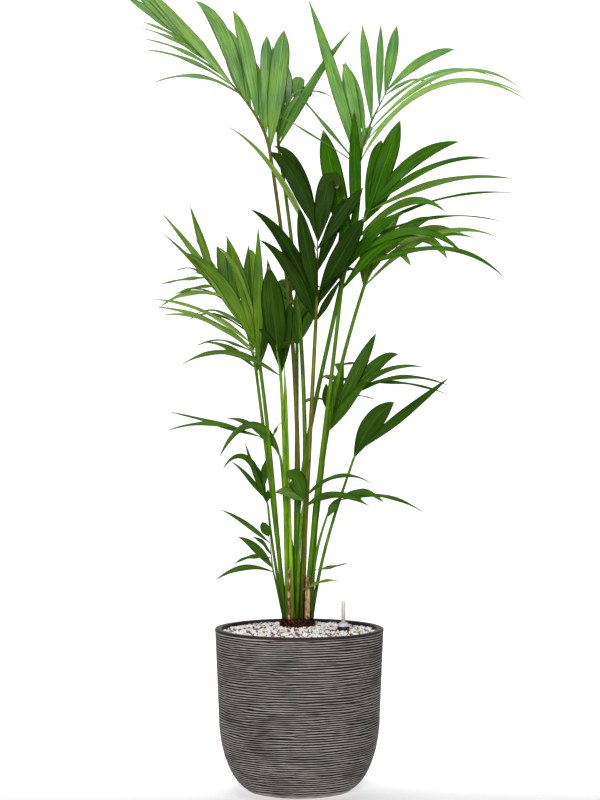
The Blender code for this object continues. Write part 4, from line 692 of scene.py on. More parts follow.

# Plain base colours, linear. Some of them hold painted light and shade, as said at each
BLACK = (0.0, 0.0, 0.0)
WHITE = (1.0, 1.0, 1.0)
# Each frond's leaf colour holds painted light and shade: the crest fronds at the top are painted paler, as lit, and the
# fronds in the palm's middle, darkest centre_front and left_front, are painted darker, as shaded by the fronds above
# them
LEAF_COLOURS_LIT_AND_SHADED = {
    "crest_left": (0.135, 0.290, 0.055), "crest_back": (0.080, 0.215, 0.024), "crest_right": (0.125, 0.300, 0.050),
    "centre_front": (0.010, 0.032, 0.001), "centre_right": (0.028, 0.112, 0.001), "right_mid": (0.085, 0.185, 0.015),
    "left_mid": (0.085, 0.170, 0.014), "left_back": (0.060, 0.135, 0.012), "left_front": (0.018, 0.048, 0.001),
    "right_low_back": (0.030, 0.090, 0.004), "right_pair": (0.019, 0.060, 0.002), "right_low": (0.040, 0.105, 0.006),
    "centre_low": (0.032, 0.088, 0.004), "left_low": (0.030, 0.085, 0.004), "left_arch": (0.050, 0.125, 0.008),
    "left_lowest": (0.036, 0.095, 0.005), "back_mid": (0.040, 0.125, 0.006), "back_low": (0.024, 0.075, 0.004),
    "sprout_front": (0.100, 0.200, 0.030), "sprout_right": (0.070, 0.130, 0.030),
}
# The inner stalks' near-black greens are painted shade in the middle of the bundle, and the spear and left_front stalk
# are painted paler with their highlights; the browner stalks of crest_left and centre_front are their own colour
STALK_COLOURS_WITH_PAINTED_LIGHT = {
    "crest_left": (0.115, 0.112, 0.014), "crest_back": (0.080, 0.155, 0.010), "centre_front": (0.120, 0.130, 0.010),
    "left_front": (0.125, 0.290, 0.005), "centre_low": (0.100, 0.240, 0.006), "crest_right": (0.058, 0.150, 0.004),
    "inner_stalk_front": (0.020, 0.050, 0.005), "inner_stalk_left": (0.030, 0.070, 0.006),
    "inner_stalk_right": (0.016, 0.040, 0.004), "spear": (0.230, 0.400, 0.014),
}
STALK_PLAIN = (0.078, 0.185, 0.003)
STALK_SHADE_BELOW = 0.440  # heights between which the stalks turn from darker and browner to plain green
STALK_CLEAR_ABOVE = 0.580
STALK_FOOT_SHADE_AND_AGE = (0.34, 0.26, 0.30)  # what the colour of a stalk's foot is multiplied by: painted shade where the stalks crowd above the root crown, and an aged brown
AGED_STALK = (0.075, 0.060, 0.018)
POT_RIDGE = (0.345, 0.306, 0.296)
# Painted shade in the planter's combed grooves
POT_GROOVE_SHADE = (0.004, 0.004, 0.005)
POT_RIM_COLOUR = (0.024, 0.019, 0.019)
YOUNG_GREEN = (0.270, 0.440, 0.080)
DRY_TIP = (0.220, 0.190, 0.080)
UNDER_GREEN = (0.10, 0.15, 0.05)
UNDER_SHARE = 0.20
RIB_PALER = (0.02, 0.03, 0.004)
PATCH_SCALE = 11.0
LEAF_PATCHES = [(0.32, (0.66, 0.76, 1.05)), (0.52, WHITE), (0.72, (1.28, 1.14, 0.66))]
LEAF_ROUGHNESS = 0.42
UNDER_ROUGHNESS = 0.60
CREST_SPECULAR = 0.22
LEAF_SPECULAR = 0.04
STREAK_SCALE = 420.0
STREAK_STRETCH = 0.035  # how slowly streaks change along a leaflet or a stalk, against across it
TONE_CHANCE = 0.03
# How young and pale some leaflets are, by their place in the frond's order
YOUNG = {
    "crest_right": {1: 0.10, 7: 0.5, 8: 0.4, 9: 0.4}, "centre_front": {3: 0.55}, "crest_left": {6: 0.3, 7: 0.3},
    "left_mid": {5: 0.35, 1: 0.2, 12: 0.5, 13: 0.5, 14: 0.5, 15: 0.5},
    "right_mid": {0: 0.35, 1: 0.30, 2: 0.55, 3: 0.60},
    "centre_right": {6: 0.2, 7: 0.1}, "left_front": {0: 0.25}, "centre_low": {0: 0.25},
}


def nodes_of(name, colour, roughness, specular=0.5):
    """A new Principled surface: its material, its node tree and its shader."""
    surface = bpy.data.materials.new(name)
    surface.use_nodes = True
    shader = surface.node_tree.nodes["Principled BSDF"]
    shader.inputs["Base Color"].default_value = (*colour, 1.0)
    shader.inputs["Roughness"].default_value = roughness
    shader.inputs["Specular IOR Level"].default_value = specular
    return surface, surface.node_tree, shader


def feed(tree, socket, value):
    """Joins a socket to another node's output, or sets it to a number, a vector or a colour."""
    if isinstance(value, bpy.types.NodeSocket):
        tree.links.new(value, socket)
    else:
        socket.default_value = (*value, 1.0) if socket.type == "RGBA" else value


def new_node(tree, kind, **inputs):
    """A new shader node. inputs say what feeds its sockets, by name, with _ for a space."""
    node = tree.nodes.new("ShaderNode" + kind)
    for name, value in inputs.items():
        feed(tree, node.inputs[name.replace("_", " ")], value)
    return node


def object_place(tree):
    return new_node(tree, "TexCoord").outputs["Object"]


def attribute_of(tree, name):
    """The outputs that read a point attribute."""
    node = new_node(tree, "Attribute")
    node.attribute_name = name
    return node.outputs


def parts_of(tree, vector):
    """The three numbers of a vector."""
    return new_node(tree, "SeparateXYZ", Vector=vector).outputs


def noise_over(tree, vector, scale, detail=3.0, rough=0.55):
    """The value of a noise pattern over vector."""
    return new_node(tree, "TexNoise", Vector=vector, Scale=scale, Detail=detail, Roughness=rough).outputs["Fac"]


def pattern(tree, scale, detail=3.0, stretch=(1.0, 1.0, 1.0)):
    """The value of a noise pattern in object coordinates."""
    mapping = new_node(tree, "Mapping", Vector=object_place(tree), Scale=stretch)
    return noise_over(tree, mapping.outputs["Vector"], scale, detail)


def ramp(tree, value, stops):
    """A colour ramp over value. stops are (position, colour)."""
    node = new_node(tree, "ValToRGB", Fac=value)
    elements = node.color_ramp.elements
    while len(elements) < len(stops):
        elements.new(0.5)
    for element, (position, colour) in zip(elements, stops):
        element.position = position
        element.color = (*colour, 1.0)
    return node.outputs["Color"]


def blend_colours(tree, value, first, second, kind="MIX"):
    """The colour that is the share value of the way from first to second, or their product for MULTIPLY."""
    node = new_node(tree, "Mix")
    node.data_type = "RGBA"
    node.blend_type = kind
    for number, source in ((0, value), (6, first), (7, second)):
        feed(tree, node.inputs[number], source)
    return node.outputs[2]


def bump(tree, shader, value, strength, distance):
    node = new_node(tree, "Bump", Strength=strength, Distance=distance, Height=value)
    tree.links.new(node.outputs["Normal"], shader.inputs["Normal"])


def scaled(colour, share):
    return tuple(min(1.0, c * share) for c in colour)


def mixed(first, second, share):
    return tuple((1 - share) * c + share * g for c, g in zip(first, second))


def speckled(name, colour, roughness, specular, speckle, stops, grain=None, alpha=1.0):
    """A surface whose colour runs through stops. speckle and grain are its pattern and that of its relief:
    scale and detail, and for grain also strength and depth."""
    surface, tree, shader = nodes_of(name, colour, roughness, specular)
    tree.links.new(ramp(tree, pattern(tree, *speckle), stops), shader.inputs["Base Color"])
    shader.inputs["Alpha"].default_value = alpha
    if grain:
        bump(tree, shader, pattern(tree, *grain[:2]), *grain[2:])
    return surface


def leaf_surfaces(name, colour):
    """Upper and under face of a frond's leaflets: streaks run along each, its tip is dry, its midrib pale."""
    made = []
    shine = CREST_SPECULAR if name.startswith("crest") else LEAF_SPECULAR
    # colour is the frond's leaf colour with its painted light and shade
    under = mixed(colour, UNDER_GREEN, UNDER_SHARE)
    for part, tone, roughness in (("upper", colour, LEAF_ROUGHNESS), ("under", under, UNDER_ROUGHNESS)):
        surface, tree, shader = nodes_of(f"{name} {part}", tone, roughness, shine)
        streak = noise_over(tree, attribute_of(tree, "grain")["Vector"], STREAK_SCALE, 3.0, 0.6)
        from_rib, along, youth = parts_of(tree, attribute_of(tree, "form")["Vector"])
        shade = ramp(tree, streak, [(0.28, scaled(tone, 0.52)), (0.50, tone), (0.74, scaled(tone, 1.60))])
        patch = ramp(tree, pattern(tree, PATCH_SCALE), LEAF_PATCHES)
        shade = blend_colours(tree, 1.0, shade, patch, "MULTIPLY")
        young = ramp(tree, streak, [(0.30, scaled(YOUNG_GREEN, 0.70)), (0.70, scaled(YOUNG_GREEN, 1.25))])
        shade = blend_colours(tree, youth, shade, young)
        rib = ramp(tree, from_rib, [(0.03, (0.55,) * 3), (0.10, BLACK)])
        shade = blend_colours(tree, rib, shade, tuple(1.5 * c + g for c, g in zip(tone, RIB_PALER)))
        dry = ramp(tree, along, [(0.955, BLACK), (0.985, WHITE)])
        tree.links.new(blend_colours(tree, dry, shade, DRY_TIP), shader.inputs["Base Color"])
        bump(tree, shader, streak, 0.45, 0.0006)
        made.append(surface)
    return made


def stalk_surface(name, colour):
    """A streaked and patchy green that is darker and browner near the root crown: painted shade between the crowded
    stalks there, and an aged brown.
    """
    surface, tree, shader = nodes_of(name, colour, 0.45, 0.07)
    streaks = pattern(tree, 300.0, 3.0, (1.0, 1.0, STREAK_STRETCH))
    base = ramp(tree, streaks, [(0.30, scaled(colour, 0.42)), (0.50, colour), (0.72, scaled(colour, 1.55))])
    mask = ramp(tree, pattern(tree, 9.0, 4.0, (1.0, 1.0, 0.8)), [(0.56, BLACK), (0.70, WHITE)])
    shade = blend_colours(tree, mask, base, mixed(colour, AGED_STALK, 0.5))
    height = parts_of(tree, object_place(tree))[2]
    # Painted shade, with an aged brown, at the foot of the stalk
    foot = ramp(tree, height, [(STALK_SHADE_BELOW, STALK_FOOT_SHADE_AND_AGE), (STALK_CLEAR_ABOVE, WHITE)])
    tree.links.new(blend_colours(tree, 1.0, shade, foot, "MULTIPLY"), shader.inputs["Base Color"])
    bump(tree, shader, streaks, 0.35, 0.0005)
    return surface


class Heap:
    """Points and faces that are gathered into one mesh. Each face has a surface number."""

    def __init__(self):
        self.points, self.quads, self.tris = [], [], []
        self.count = 0

    def add(self, points, quads=(), tris=(), surface=0):
        """surface is one number, or one for each quad, and then triangles take the first."""
        surface = np.asarray(surface, int)
        for faces, into, size, number in ((quads, self.quads, 4, surface), (tris, self.tris, 3, surface.flat[0])):
            faces = np.asarray(faces, int).reshape(-1, size)
            into.append((faces + self.count, np.broadcast_to(number, len(faces))))
        self.points.append(np.asarray(points, float))
        self.count += len(points)

    def mesh(self, name, surfaces, smooth=True):
        points = np.concatenate(self.points)
        quads = np.concatenate([f for f, _ in self.quads])
        tris = np.concatenate([f for f, _ in self.tris])
        numbers = np.concatenate([n for _, n in self.quads] + [n for _, n in self.tris])
        mesh = bpy.data.meshes.new(name)
        mesh.vertices.add(len(points))
        mesh.vertices.foreach_set("co", points.astype(np.float32).ravel())
        loops = np.concatenate([quads.ravel(), tris.ravel()])
        mesh.loops.add(len(loops))
        mesh.loops.foreach_set("vertex_index", loops.astype(np.int32))
        totals = np.concatenate([np.full(len(quads), 4), np.full(len(tris), 3)])
        mesh.polygons.add(len(totals))
        mesh.polygons.foreach_set("loop_start", (np.cumsum(totals) - totals).astype(np.int32))
        mesh.polygons.foreach_set("loop_total", totals.astype(np.int32))
        mesh.polygons.foreach_set("material_index", numbers.astype(np.int32))
        mesh.polygons.foreach_set("use_smooth", np.full(len(totals), smooth))
        for surface in surfaces:
            mesh.materials.append(surface)
        mesh.update(calc_edges=True)
        mesh.validate()
        return mesh


def place(name, mesh, nodes=(), slot=None):
    """Puts a mesh in the scene as a piece of the object that stands for these CAD nodes."""
    piece = bpy.data.objects.new(name, mesh)
    bpy.context.scene.collection.objects.link(piece)
    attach(piece, "root")
    if nodes:
        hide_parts(*nodes)


def ring_quads(rings, sides):
    """Quads between rings of sides points each."""
    i, k = np.meshgrid(np.arange(rings - 1), np.arange(sides), indexing="ij")
    a, b = i * sides + k, i * sides + (k + 1) % sides
    return np.stack([a, b, b + sides, a + sides], axis=-1).reshape(-1, 4)


def all_round(count):
    """Angles all the way round, in even steps."""
    return np.arange(count) * 2 * math.pi / count


def circle(angles, radius, height, at=(0.0, 0.0)):
    """Points round the place at. radius and height are one number, or one for each angle."""
    return np.stack([at[0] + radius * np.cos(angles), at[1] + radius * np.sin(angles), height + 0 * angles], axis=-1)


def square_to(points):
    """Two unit vectors square to the points' line at each of them, turned as little as possible along it."""
    tangents = np.gradient(points, axis=0)
    tangents /= np.linalg.norm(tangents, axis=1)[:, None]
    first = np.zeros_like(points)
    guess = np.cross(tangents[0], (1.0, 0.02, 0.03))
    for i, tangent in enumerate(tangents):
        guess = guess - tangent * guess.dot(tangent)
        guess /= np.linalg.norm(guess)
        first[i] = guess
    return first, np.cross(tangents, first)


def swept_rings(points, angles, reach):
    """Rings round points, with the radius reach[point, angle]."""
    first, second = square_to(points)
    rings = points[:, None] + first[:, None] * (np.cos(angles) * reach)[..., None]
    return rings + second[:, None] * (np.sin(angles) * reach)[..., None]


def add_rings(heap, rings, ends, surface=0):
    """A closed tube through rings, with a fan of triangles to each of its two ends."""
    count, sides = rings.shape[:2]
    total = count * sides
    k = np.arange(sides)
    ahead = (k + 1) % sides
    caps = [np.stack([np.full(sides, total), ahead, k], axis=-1),
            np.stack([np.full(sides, total + 1), total - sides + k, total - sides + ahead], axis=-1)]
    heap.add(np.concatenate([rings.reshape(-1, 3), ends]), ring_quads(count, sides), np.concatenate(caps), surface)


def add_tube(heap, points, radii, sides, surface=0, shape=None):
    """A closed tube along points. shape(angle, share of length) changes its radius."""
    points = np.array([tuple(p) for p in points], float)
    angles = all_round(sides)
    reach = np.asarray(radii, float)[:, None] * np.ones(sides)
    if shape:
        reach = reach * shape(angles[None, :], np.linspace(0, 1, len(points))[:, None])
    add_rings(heap, swept_rings(points, angles, reach), points[[0, -1]], surface)


def fine_width(u, widest):
    """blade_width with a rounder point on broad leaflets."""
    if u < widest:
        return blade_width(u, widest)
    power = BLADE_POINT_POWER + BROAD_POINT * max(0.0, widest - BROAD_FROM)
    return max(0.0, 1 - ((u - widest) / (1 - widest)) ** power)


def add_leaflet(heap, leaflet, dice, tone):
    """The fine shape of one leaflet: two skins that meet at its edges. Returns its grain and form numbers."""
    fine = grow_leaflet(leaflet.points[0], leaflet.tangents[0], leaflet.normals[0], leaflet.length,
                        leaflet.width, leaflet.droop, leaflet.rank, FINE_STEPS)
    u = np.arange(FINE_STEPS + 1) / FINE_STEPS
    points = np.array([tuple(p) for p in fine.points])
    tangents = np.array([tuple(t) for t in fine.tangents])
    normals = np.array([tuple(n) for n in fine.normals])
    sides = np.cross(tangents, normals)
    twist = dice.uniform(-FINE_TWIST, FINE_TWIST) * u**1.5
    turned_sides = sides * np.cos(twist)[:, None] + normals * np.sin(twist)[:, None]
    turned_normals = normals * np.cos(twist)[:, None] - sides * np.sin(twist)[:, None]
    points = points + sides * (dice.uniform(-FINE_SWAY, FINE_SWAY) * leaflet.length * u**2)[:, None]
    half = leaflet.width / 2 * np.array([fine_width(v, leaflet.widest) for v in u])
    half[-1] = TIP_POINT
    plump = half / half.max()
    fold = dice.uniform(0.10, 0.30) + 0.45 * (1 - plump) * (u < leaflet.widest) + 0.25 * u**3
    wave = FINE_WAVE * plump * np.sin(2 * math.pi * (u * dice.uniform(1.5, 3.0) + dice.random()))
    s = FINE_ACROSS[None, :]
    lean = np.cos(np.arctan(fold))[:, None]
    out = s * half[:, None] * lean
    drop = -np.abs(s) * (half * fold)[:, None] * lean
    lift = drop + FINE_PLEAT[None, :] * (PLEAT_HEIGHT * plump)[:, None] + s * np.abs(s) * wave[:, None]
    body = (SHEET_EDGE + (SHEET_MIDDLE - SHEET_EDGE) * (1 - s**2)) * (0.35 + 0.65 * plump[:, None])

    def skin(height):
        return (points[:, None] + turned_sides[:, None] * out[..., None]
                + turned_normals[:, None] * height[..., None])

    top, bottom = skin(lift + body / 2), skin(lift - body / 2)
    ring = np.concatenate([top, bottom[:, -2:0:-1]], axis=1)
    count = ring.shape[1]
    strip = np.full(count, 1)
    strip[: len(FINE_ACROSS) - 1] = 0
    surface = np.tile(strip, FINE_STEPS)
    cap = ring.reshape(-1, 3)[:count].mean(axis=0)
    k = np.arange(count)
    fan = np.stack([np.full(count, len(u) * count), (k + 1) % count, k], axis=-1)
    heap.add(np.concatenate([ring.reshape(-1, 3), cap[None]]), ring_quads(len(u), count), fan, surface)
    around = np.concatenate([FINE_ACROSS, FINE_ACROSS[-2:0:-1]])
    flat = np.ones((len(u), 1)) * around[None, :]
    grain = np.stack([flat * half[:, None] + dice.random() * GRAIN_FAR,
                      u[:, None] * leaflet.length * STREAK_STRETCH + 0 * flat,
                      0 * flat + dice.random() * GRAIN_FAR], axis=-1).reshape(-1, 3)
    form = np.stack([np.abs(flat), u[:, None] + 0 * flat, tone + 0 * flat], axis=-1).reshape(-1, 3)
    return np.concatenate([grain, grain[:1]]), np.concatenate([form, form[:1]])


def set_vectors(mesh, name, values):
    """Gives the first points of a mesh these vectors, and the rest of them zeros."""
    attribute = mesh.attributes.new(name, "FLOAT_VECTOR", "POINT")
    full = np.zeros((len(mesh.vertices), 3), np.float32)
    full[: len(values)] = values
    attribute.data.foreach_set("vector", full.ravel())


def place_stalk(frond, surface, dice):
    """The ribbed stalk of a frond, flattened towards its top."""
    controls = stalk_controls(frond)
    heel = [controls[0] - UP * STALK_HEEL * i / 3 for i in (3, 2, 1)]
    points = heel + sampled(controls, STALK_RINGS)
    coarse = stalk_radii(frond)
    radii = np.interp(np.linspace(0, 1, len(points)), np.linspace(0, 1, len(coarse)), coarse)
    phase = dice.random() * 6

    def ribbed(angle, t):
        return 1 + 0.04 * np.cos(5 * angle + phase) - 0.10 * np.cos(angle + phase) ** 2 * t

    heap = Heap()
    add_tube(heap, points, radii, STALK_SIDES, 0, ribbed)
    name = f"fine_{frond.name}_stalk"
    place(name, heap.mesh(name, [surface]), [frond.name + "_stalk"], "stalk")


def grow_fine_fronds():
    """Every frond with its fine leaflets and its stalk. Returns how many leaflets there are."""
    leaves = 0
    for frond, leaflets in grow_all():
        dice = random.Random(frond.seed + FINE_SEED)
        heap = Heap()
        grains, forms = [], []
        for i, leaflet in enumerate(leaflets):
            tone = YOUNG.get(frond.name, {}).get(i, 0.0) + dice.uniform(0, TONE_CHANCE)
            grain, form = add_leaflet(heap, leaflet, dice, tone)
            grains.append(grain)
            forms.append(form)
        leaves += len(leaflets)
        share = stalk_share(frond)
        radii = tapered(STALK_KNEE_RADIUS * share, RIB_TIP_RADIUS * share * RIB_TIP_SHARE, RIB_RINGS)
        add_tube(heap, sampled(rib_controls(frond), RIB_RINGS), radii, RIB_SIDES, 2)
        stalk = stalk_surface(f"{frond.name} stalk", STALK_COLOURS_WITH_PAINTED_LIGHT.get(frond.name, STALK_PLAIN))
        name = f"fine_{frond.name}"
        mesh = heap.mesh(name, leaf_surfaces(frond.name, LEAF_COLOURS_LIT_AND_SHADED[frond.name]) + [stalk])
        set_vectors(mesh, "grain", np.concatenate(grains))
        set_vectors(mesh, "form", np.concatenate(forms))
        place(name, mesh, [frond.name], "frond")
        place_stalk(frond, stalk, dice)
    return leaves


def pot_outer_radius(height):
    """Radius of the planter's outer side at this height."""
    height = np.asarray(height, float)
    share = (height - POT_WAIST_HEIGHT) / (POT_HEIGHT - POT_WAIST_HEIGHT)
    above = POT_WAIST_RADIUS + (POT_RIM_RADIUS - POT_WAIST_RADIUS) * share
    down = np.clip((POT_WAIST_HEIGHT - height) / POT_WAIST_HEIGHT, 0, 1)
    bulge = (1 - down**POT_BELLY_POWER) ** (1 / POT_BELLY_POWER)
    below = POT_BELLY_CENTRE + (POT_WAIST_RADIUS - POT_BELLY_CENTRE) * bulge
    return np.where(height >= POT_WAIST_HEIGHT, above, below)


def soft_waves(dice, count, turns, rises):
    """A smooth seeded pattern over angle and height, from about -1 to 1."""
    waves = [(dice.randint(1, turns), dice.uniform(-rises, rises), dice.uniform(0, ANY_TURN)) for _ in range(count)]

    def value(angle, height):
        total = 0
        for turn, rise, phase in waves:
            total = total + np.sin(turn * angle + rise * height + phase)
        return total / math.sqrt(count)

    return value


def combed_lines(angle, height):
    """Random ridges and grooves, from about -1 to 1: long level lines that fork, merge and fade in places."""
    dice = random.Random(COMB_SEED)
    total = np.cos(2 * math.pi * height / POT_PITCH + 0.6 * np.sin(2 * angle))
    power = 1.0
    for _ in range(POT_WAVES):
        pitch = POT_PITCH / (1 + dice.uniform(-POT_PITCH_SPREAD, POT_PITCH_SPREAD))
        slope = round(dice.gauss(0, POT_SLOPE_SPREAD))
        phase = dice.uniform(0, ANY_TURN)
        total = total + POT_WAVE_SHARE * np.cos(2 * math.pi * height / pitch + slope * angle + phase)
        power += POT_WAVE_SHARE**2
    return total / math.sqrt(power)


def pot_surfaces():
    """The combed side, pale on its ridges and painted near black in its grooves as painted shade, and the plain rim."""
    combed, tree, shader = nodes_of("planter combed", POT_RIDGE, 0.65, 0.15)
    ridge_colour = ramp(tree, pattern(tree, 7.0, 5.0, (1.0, 1.0, 3.5)), [
        (0.32, scaled(POT_RIDGE, 0.45)), (0.48, POT_RIDGE), (0.70, scaled(POT_RIDGE, 1.25))])
    brushed = ramp(tree, pattern(tree, 60.0, 4.0, (1.0, 1.0, 8.0)), [(0.32, (0.65,) * 3), (0.62, WHITE)])
    top = blend_colours(tree, 1.0, ridge_colour, brushed, "MULTIPLY")
    # The deeper the groove, the nearer its colour comes to near black: painted shade
    groove_shade = ramp(tree, attribute_of(tree, "groove")["Fac"], [(0.05, BLACK), (0.48, WHITE)])
    tree.links.new(blend_colours(tree, groove_shade, top, POT_GROOVE_SHADE), shader.inputs["Base Color"])
    bump(tree, shader, pattern(tree, 160.0, 3.0, (1.0, 1.0, 5.0)), 0.10, 0.0005)
    stops = [(0.30, scaled(POT_RIM_COLOUR, 0.75)), (0.70, scaled(POT_RIM_COLOUR, 1.2))]
    plain = speckled("planter rim", POT_RIM_COLOUR, 0.50, 0.14, (40.0, 4.0), stops, (500.0, 3.0, 0.20, 0.0005))
    return [combed, plain]


def build_pot():
    """The planter: its combed side between a plain foot and a plain rim, and its inside."""
    angles = all_round(POT_ROUND)
    low, high = POT_COMBED_FROM, POT_HEIGHT - POT_BAND
    angle, height = np.meshgrid(angles, np.linspace(low, high, POT_ROWS))
    ridge = 0.5 + 0.5 * np.tanh(2.4 * combed_lines(angle, height) + 0.35)
    ends = np.clip(np.minimum((height - low) / 0.004, (high - height) / 0.002), 0, 1)
    depth = (1 - ridge) * ends
    outer = circle(angle, pot_outer_radius(height) - POT_GROOVE * depth - POT_SKIN, height)
    profile = [(0.0, 0.0), (POT_FOOT_RADIUS - 0.010, 0.0), (POT_FOOT_RADIUS, 0.0), (pot_outer_radius(0.0045), 0.0045)]
    inner = POT_RIM_RADIUS - POT_WALL
    rim = [(POT_RIM_RADIUS + out, POT_HEIGHT - down) for out, down in RIM_OUTSIDE]
    rim += [(inner + out, POT_HEIGHT - down) for out, down in RIM_INSIDE]
    rim += [(float(pot_outer_radius(h)) - POT_WALL, h) for h in POT_INSIDE_HEIGHTS] + [(0.0, POT_INSIDE_HEIGHTS[-1])]
    below, above = [[circle(angles, max(float(r), POT_AXIS), z) for r, z in part] for part in (profile, rim)]
    rings = below + list(outer) + above
    parts = np.repeat([0] * (len(profile) + POT_ROWS - 1) + [1] * len(rim), POT_ROUND)
    heap = Heap()
    heap.add(np.concatenate(rings), ring_quads(len(rings), POT_ROUND), (), parts)
    mesh = heap.mesh("combed_planter", pot_surfaces())
    depths = np.concatenate([np.zeros(len(profile) * POT_ROUND), depth.ravel(), np.zeros(len(rim) * POT_ROUND)])
    attribute = mesh.attributes.new("groove", "FLOAT", "POINT")
    attribute.data.foreach_set("value", depths.astype(np.float32))
    place("combed_planter", mesh, ["planter"], "planter")


def granule_height(radius):
    share = np.clip((radius - GRANULE_FLAT_RADIUS) / (GRANULE_REACH - GRANULE_FLAT_RADIUS), 0, 1)
    return GRANULE_CROWN_HEIGHT + (GRANULE_EDGE_HEIGHT - GRANULE_CROWN_HEIGHT) * share


def pebble_shape():
    """A small ball of 42 points, as points and triangles."""
    work = bmesh.new()
    bmesh.ops.create_icosphere(work, subdivisions=2, radius=1.0)
    points = np.array([tuple(v.co) for v in work.verts])
    tris = np.array([[v.index for v in f.verts] for f in work.faces])
    work.free()
    return points, tris


def granule_spots(dice):
    """Places (x, y) of the granules, none nearer to another than the spacing allows."""
    radius = GRANULE_REACH * np.sqrt(dice.random(GRANULE_TRIES))
    spots = circle(dice.random(GRANULE_TRIES) * 2 * math.pi, radius, 0.0)[:, :2]
    taken, kept = {}, []
    for i, spot in enumerate(spots):
        if math.dist(spot, CROWN_AT) < CROWN_RADIUS - 0.001 or math.dist(spot, GAUGE_AT) < GAUGE_BASE_RADIUS + 0.003:
            continue
        cell = tuple(np.floor(spot / GRANULE_SPACING).astype(int))
        near = [taken.get((cell[0] + a, cell[1] + b)) for a in (-1, 0, 1) for b in (-1, 0, 1)]
        if all(j is None or math.dist(spot, spots[j]) > GRANULE_SPACING * GRANULE_CLOSEST for j in near):
            taken[cell] = i
            kept.append(i)
    return spots[kept]


def build_granules():
    """Loose granules of five colours over the solid bed. The mauve and grey granules and the dark bed are painted shade
    between the paler ones. Returns how many there are.
    """
    dice = np.random.default_rng(GRANULE_SEED)
    spots = granule_spots(dice)
    ball, tris = pebble_shape()
    heaps = [Heap() for _ in GRANULE_KINDS]
    odds = [share for _, share in GRANULE_KINDS.values()]
    for spot in spots:
        size = dice.uniform(*GRANULE_SIZE)
        axes = size * np.array([1.0, dice.uniform(0.70, 0.95), dice.uniform(0.55, 0.85)])
        shape = ball * (1 + 0.14 * dice.standard_normal(len(ball)))[:, None] * axes
        turn = Quaternion(Vector(dice.standard_normal(3)).normalized(), dice.uniform(0, ANY_TURN)).to_matrix()
        height = granule_height(math.hypot(*spot)) + dice.uniform(-0.0014, 0.0020)
        kind = dice.choice(len(heaps), p=odds)
        heaps[kind].add(shape @ np.array(turn).T + (*spot, height), (), tris)
    for heap, (name, (colour, _)) in zip(heaps, GRANULE_KINDS.items()):
        stops = [(0.30, scaled(colour, 0.68)), (0.50, colour), (0.72, scaled(colour, 1.2))]
        surface = speckled(f"granule {name}", colour, 0.75, 0.3, (260.0, 4.0), stops, (900.0, 3.0, 0.4, 0.0004))
        place(f"granules_{name}", heap.mesh(f"granules_{name}", [surface]), (), "granules")
    # The bed is painted dark as shade under the granules
    dress("granules", speckled("granule bed", BED_SHADE_COLOUR, 0.9, 0.2, (180.0, 4.0), BED_SHADE_STOPS))
    return len(spots)


def dress(node, surface):
    """Gives a CAD node this surface."""
    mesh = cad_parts[node].data
    mesh.materials.clear()
    mesh.materials.append(surface)


def crown_surfaces():
    """Dark matter and paler fibres."""
    surfaces = []
    for name, colour in CROWN_COLOURS.items():
        stops = [(0.30, scaled(colour, 0.30)), (0.50, colour), (0.75, scaled(colour, 2.4))]
        surfaces.append(speckled(name, colour, 0.85, 0.06, (150.0, 5.0), stops, (500.0, 4.0, 0.6, 0.0010)))
    return surfaces


def add_fibre(heap, bottom, dice):
    """One fibre that runs from the top of the root crown askew over its side."""
    start = dice.uniform(0, ANY_TURN)
    begin = dice.uniform(0.78, 0.93) * CROWN_RADIUS
    reach = CROWN_RADIUS + dice.uniform(-0.0030, 0.0055)
    turn = dice.uniform(-1.2, 1.2)
    high = CROWN_TOP - 0.009 * dice.random() ** 2
    fall = dice.uniform(0.5, 1.0) * (high - bottom - 0.001)
    path = []
    for t in np.linspace(0, 1, FIBRE_STEPS):
        r, a = begin + (reach - begin) * math.sin(t * 1.57), start + turn * t
        path.append((CROWN_AT[0] + r * math.cos(a), CROWN_AT[1] + r * math.sin(a), high - fall * t**1.4))
    radii = np.linspace(dice.uniform(0.0010, 0.0030), 0.0006, FIBRE_STEPS)
    add_tube(heap, path, radii, 6, int(dice.random() < PALE_FIBRES))


def build_crown():
    """The root crown: knotted lumps with fibres that run askew over its side into the granules."""
    dice = np.random.default_rng(CROWN_SEED)
    angle = all_round(CROWN_SIDES)
    knots = soft_waves(random.Random(KNOT_SEED), 12, 22, 330)
    lumps = soft_waves(random.Random(LUMP_SEED), 6, 9, 90)
    edge = 0.5 + 0.5 * np.tanh(2 * lumps(angle, 0.0))
    rings = []
    bottom = GRANULE_CROWN_HEIGHT + FIT
    for i in range(CROWN_ROWS + 1):
        t = i / CROWN_ROWS
        z = bottom + (CROWN_TOP - bottom) * t * (1 - 0.34 * edge * t)
        reach = CROWN_RADIUS * (0.99 - 0.12 * t**2) + 0.0030 * lumps(angle, z) + 0.0018 * knots(angle, z) - 0.003
        rings.append(circle(angle, reach, z, CROWN_AT))
    rim = rings[-1]
    for share in (0.86, 0.6, 0.3, 0.02):
        ring = rim.copy()
        ring[:, :2] = CROWN_AT + (rim[:, :2] - CROWN_AT) * share
        ring[:, 2] = CROWN_TOP - 0.0015 + 0.0010 * knots(angle, 5 * share) + (rim[:, 2] - CROWN_TOP) * share**3
        rings.append(ring)
    heap = Heap()
    heap.add(np.concatenate(rings), ring_quads(len(rings), CROWN_SIDES))
    for _ in range(FIBRES):
        add_fibre(heap, bottom, dice)
    place("fibrous_crown", heap.mesh("fibrous_crown", crown_surfaces()), ["root_crown"], "root_crown")


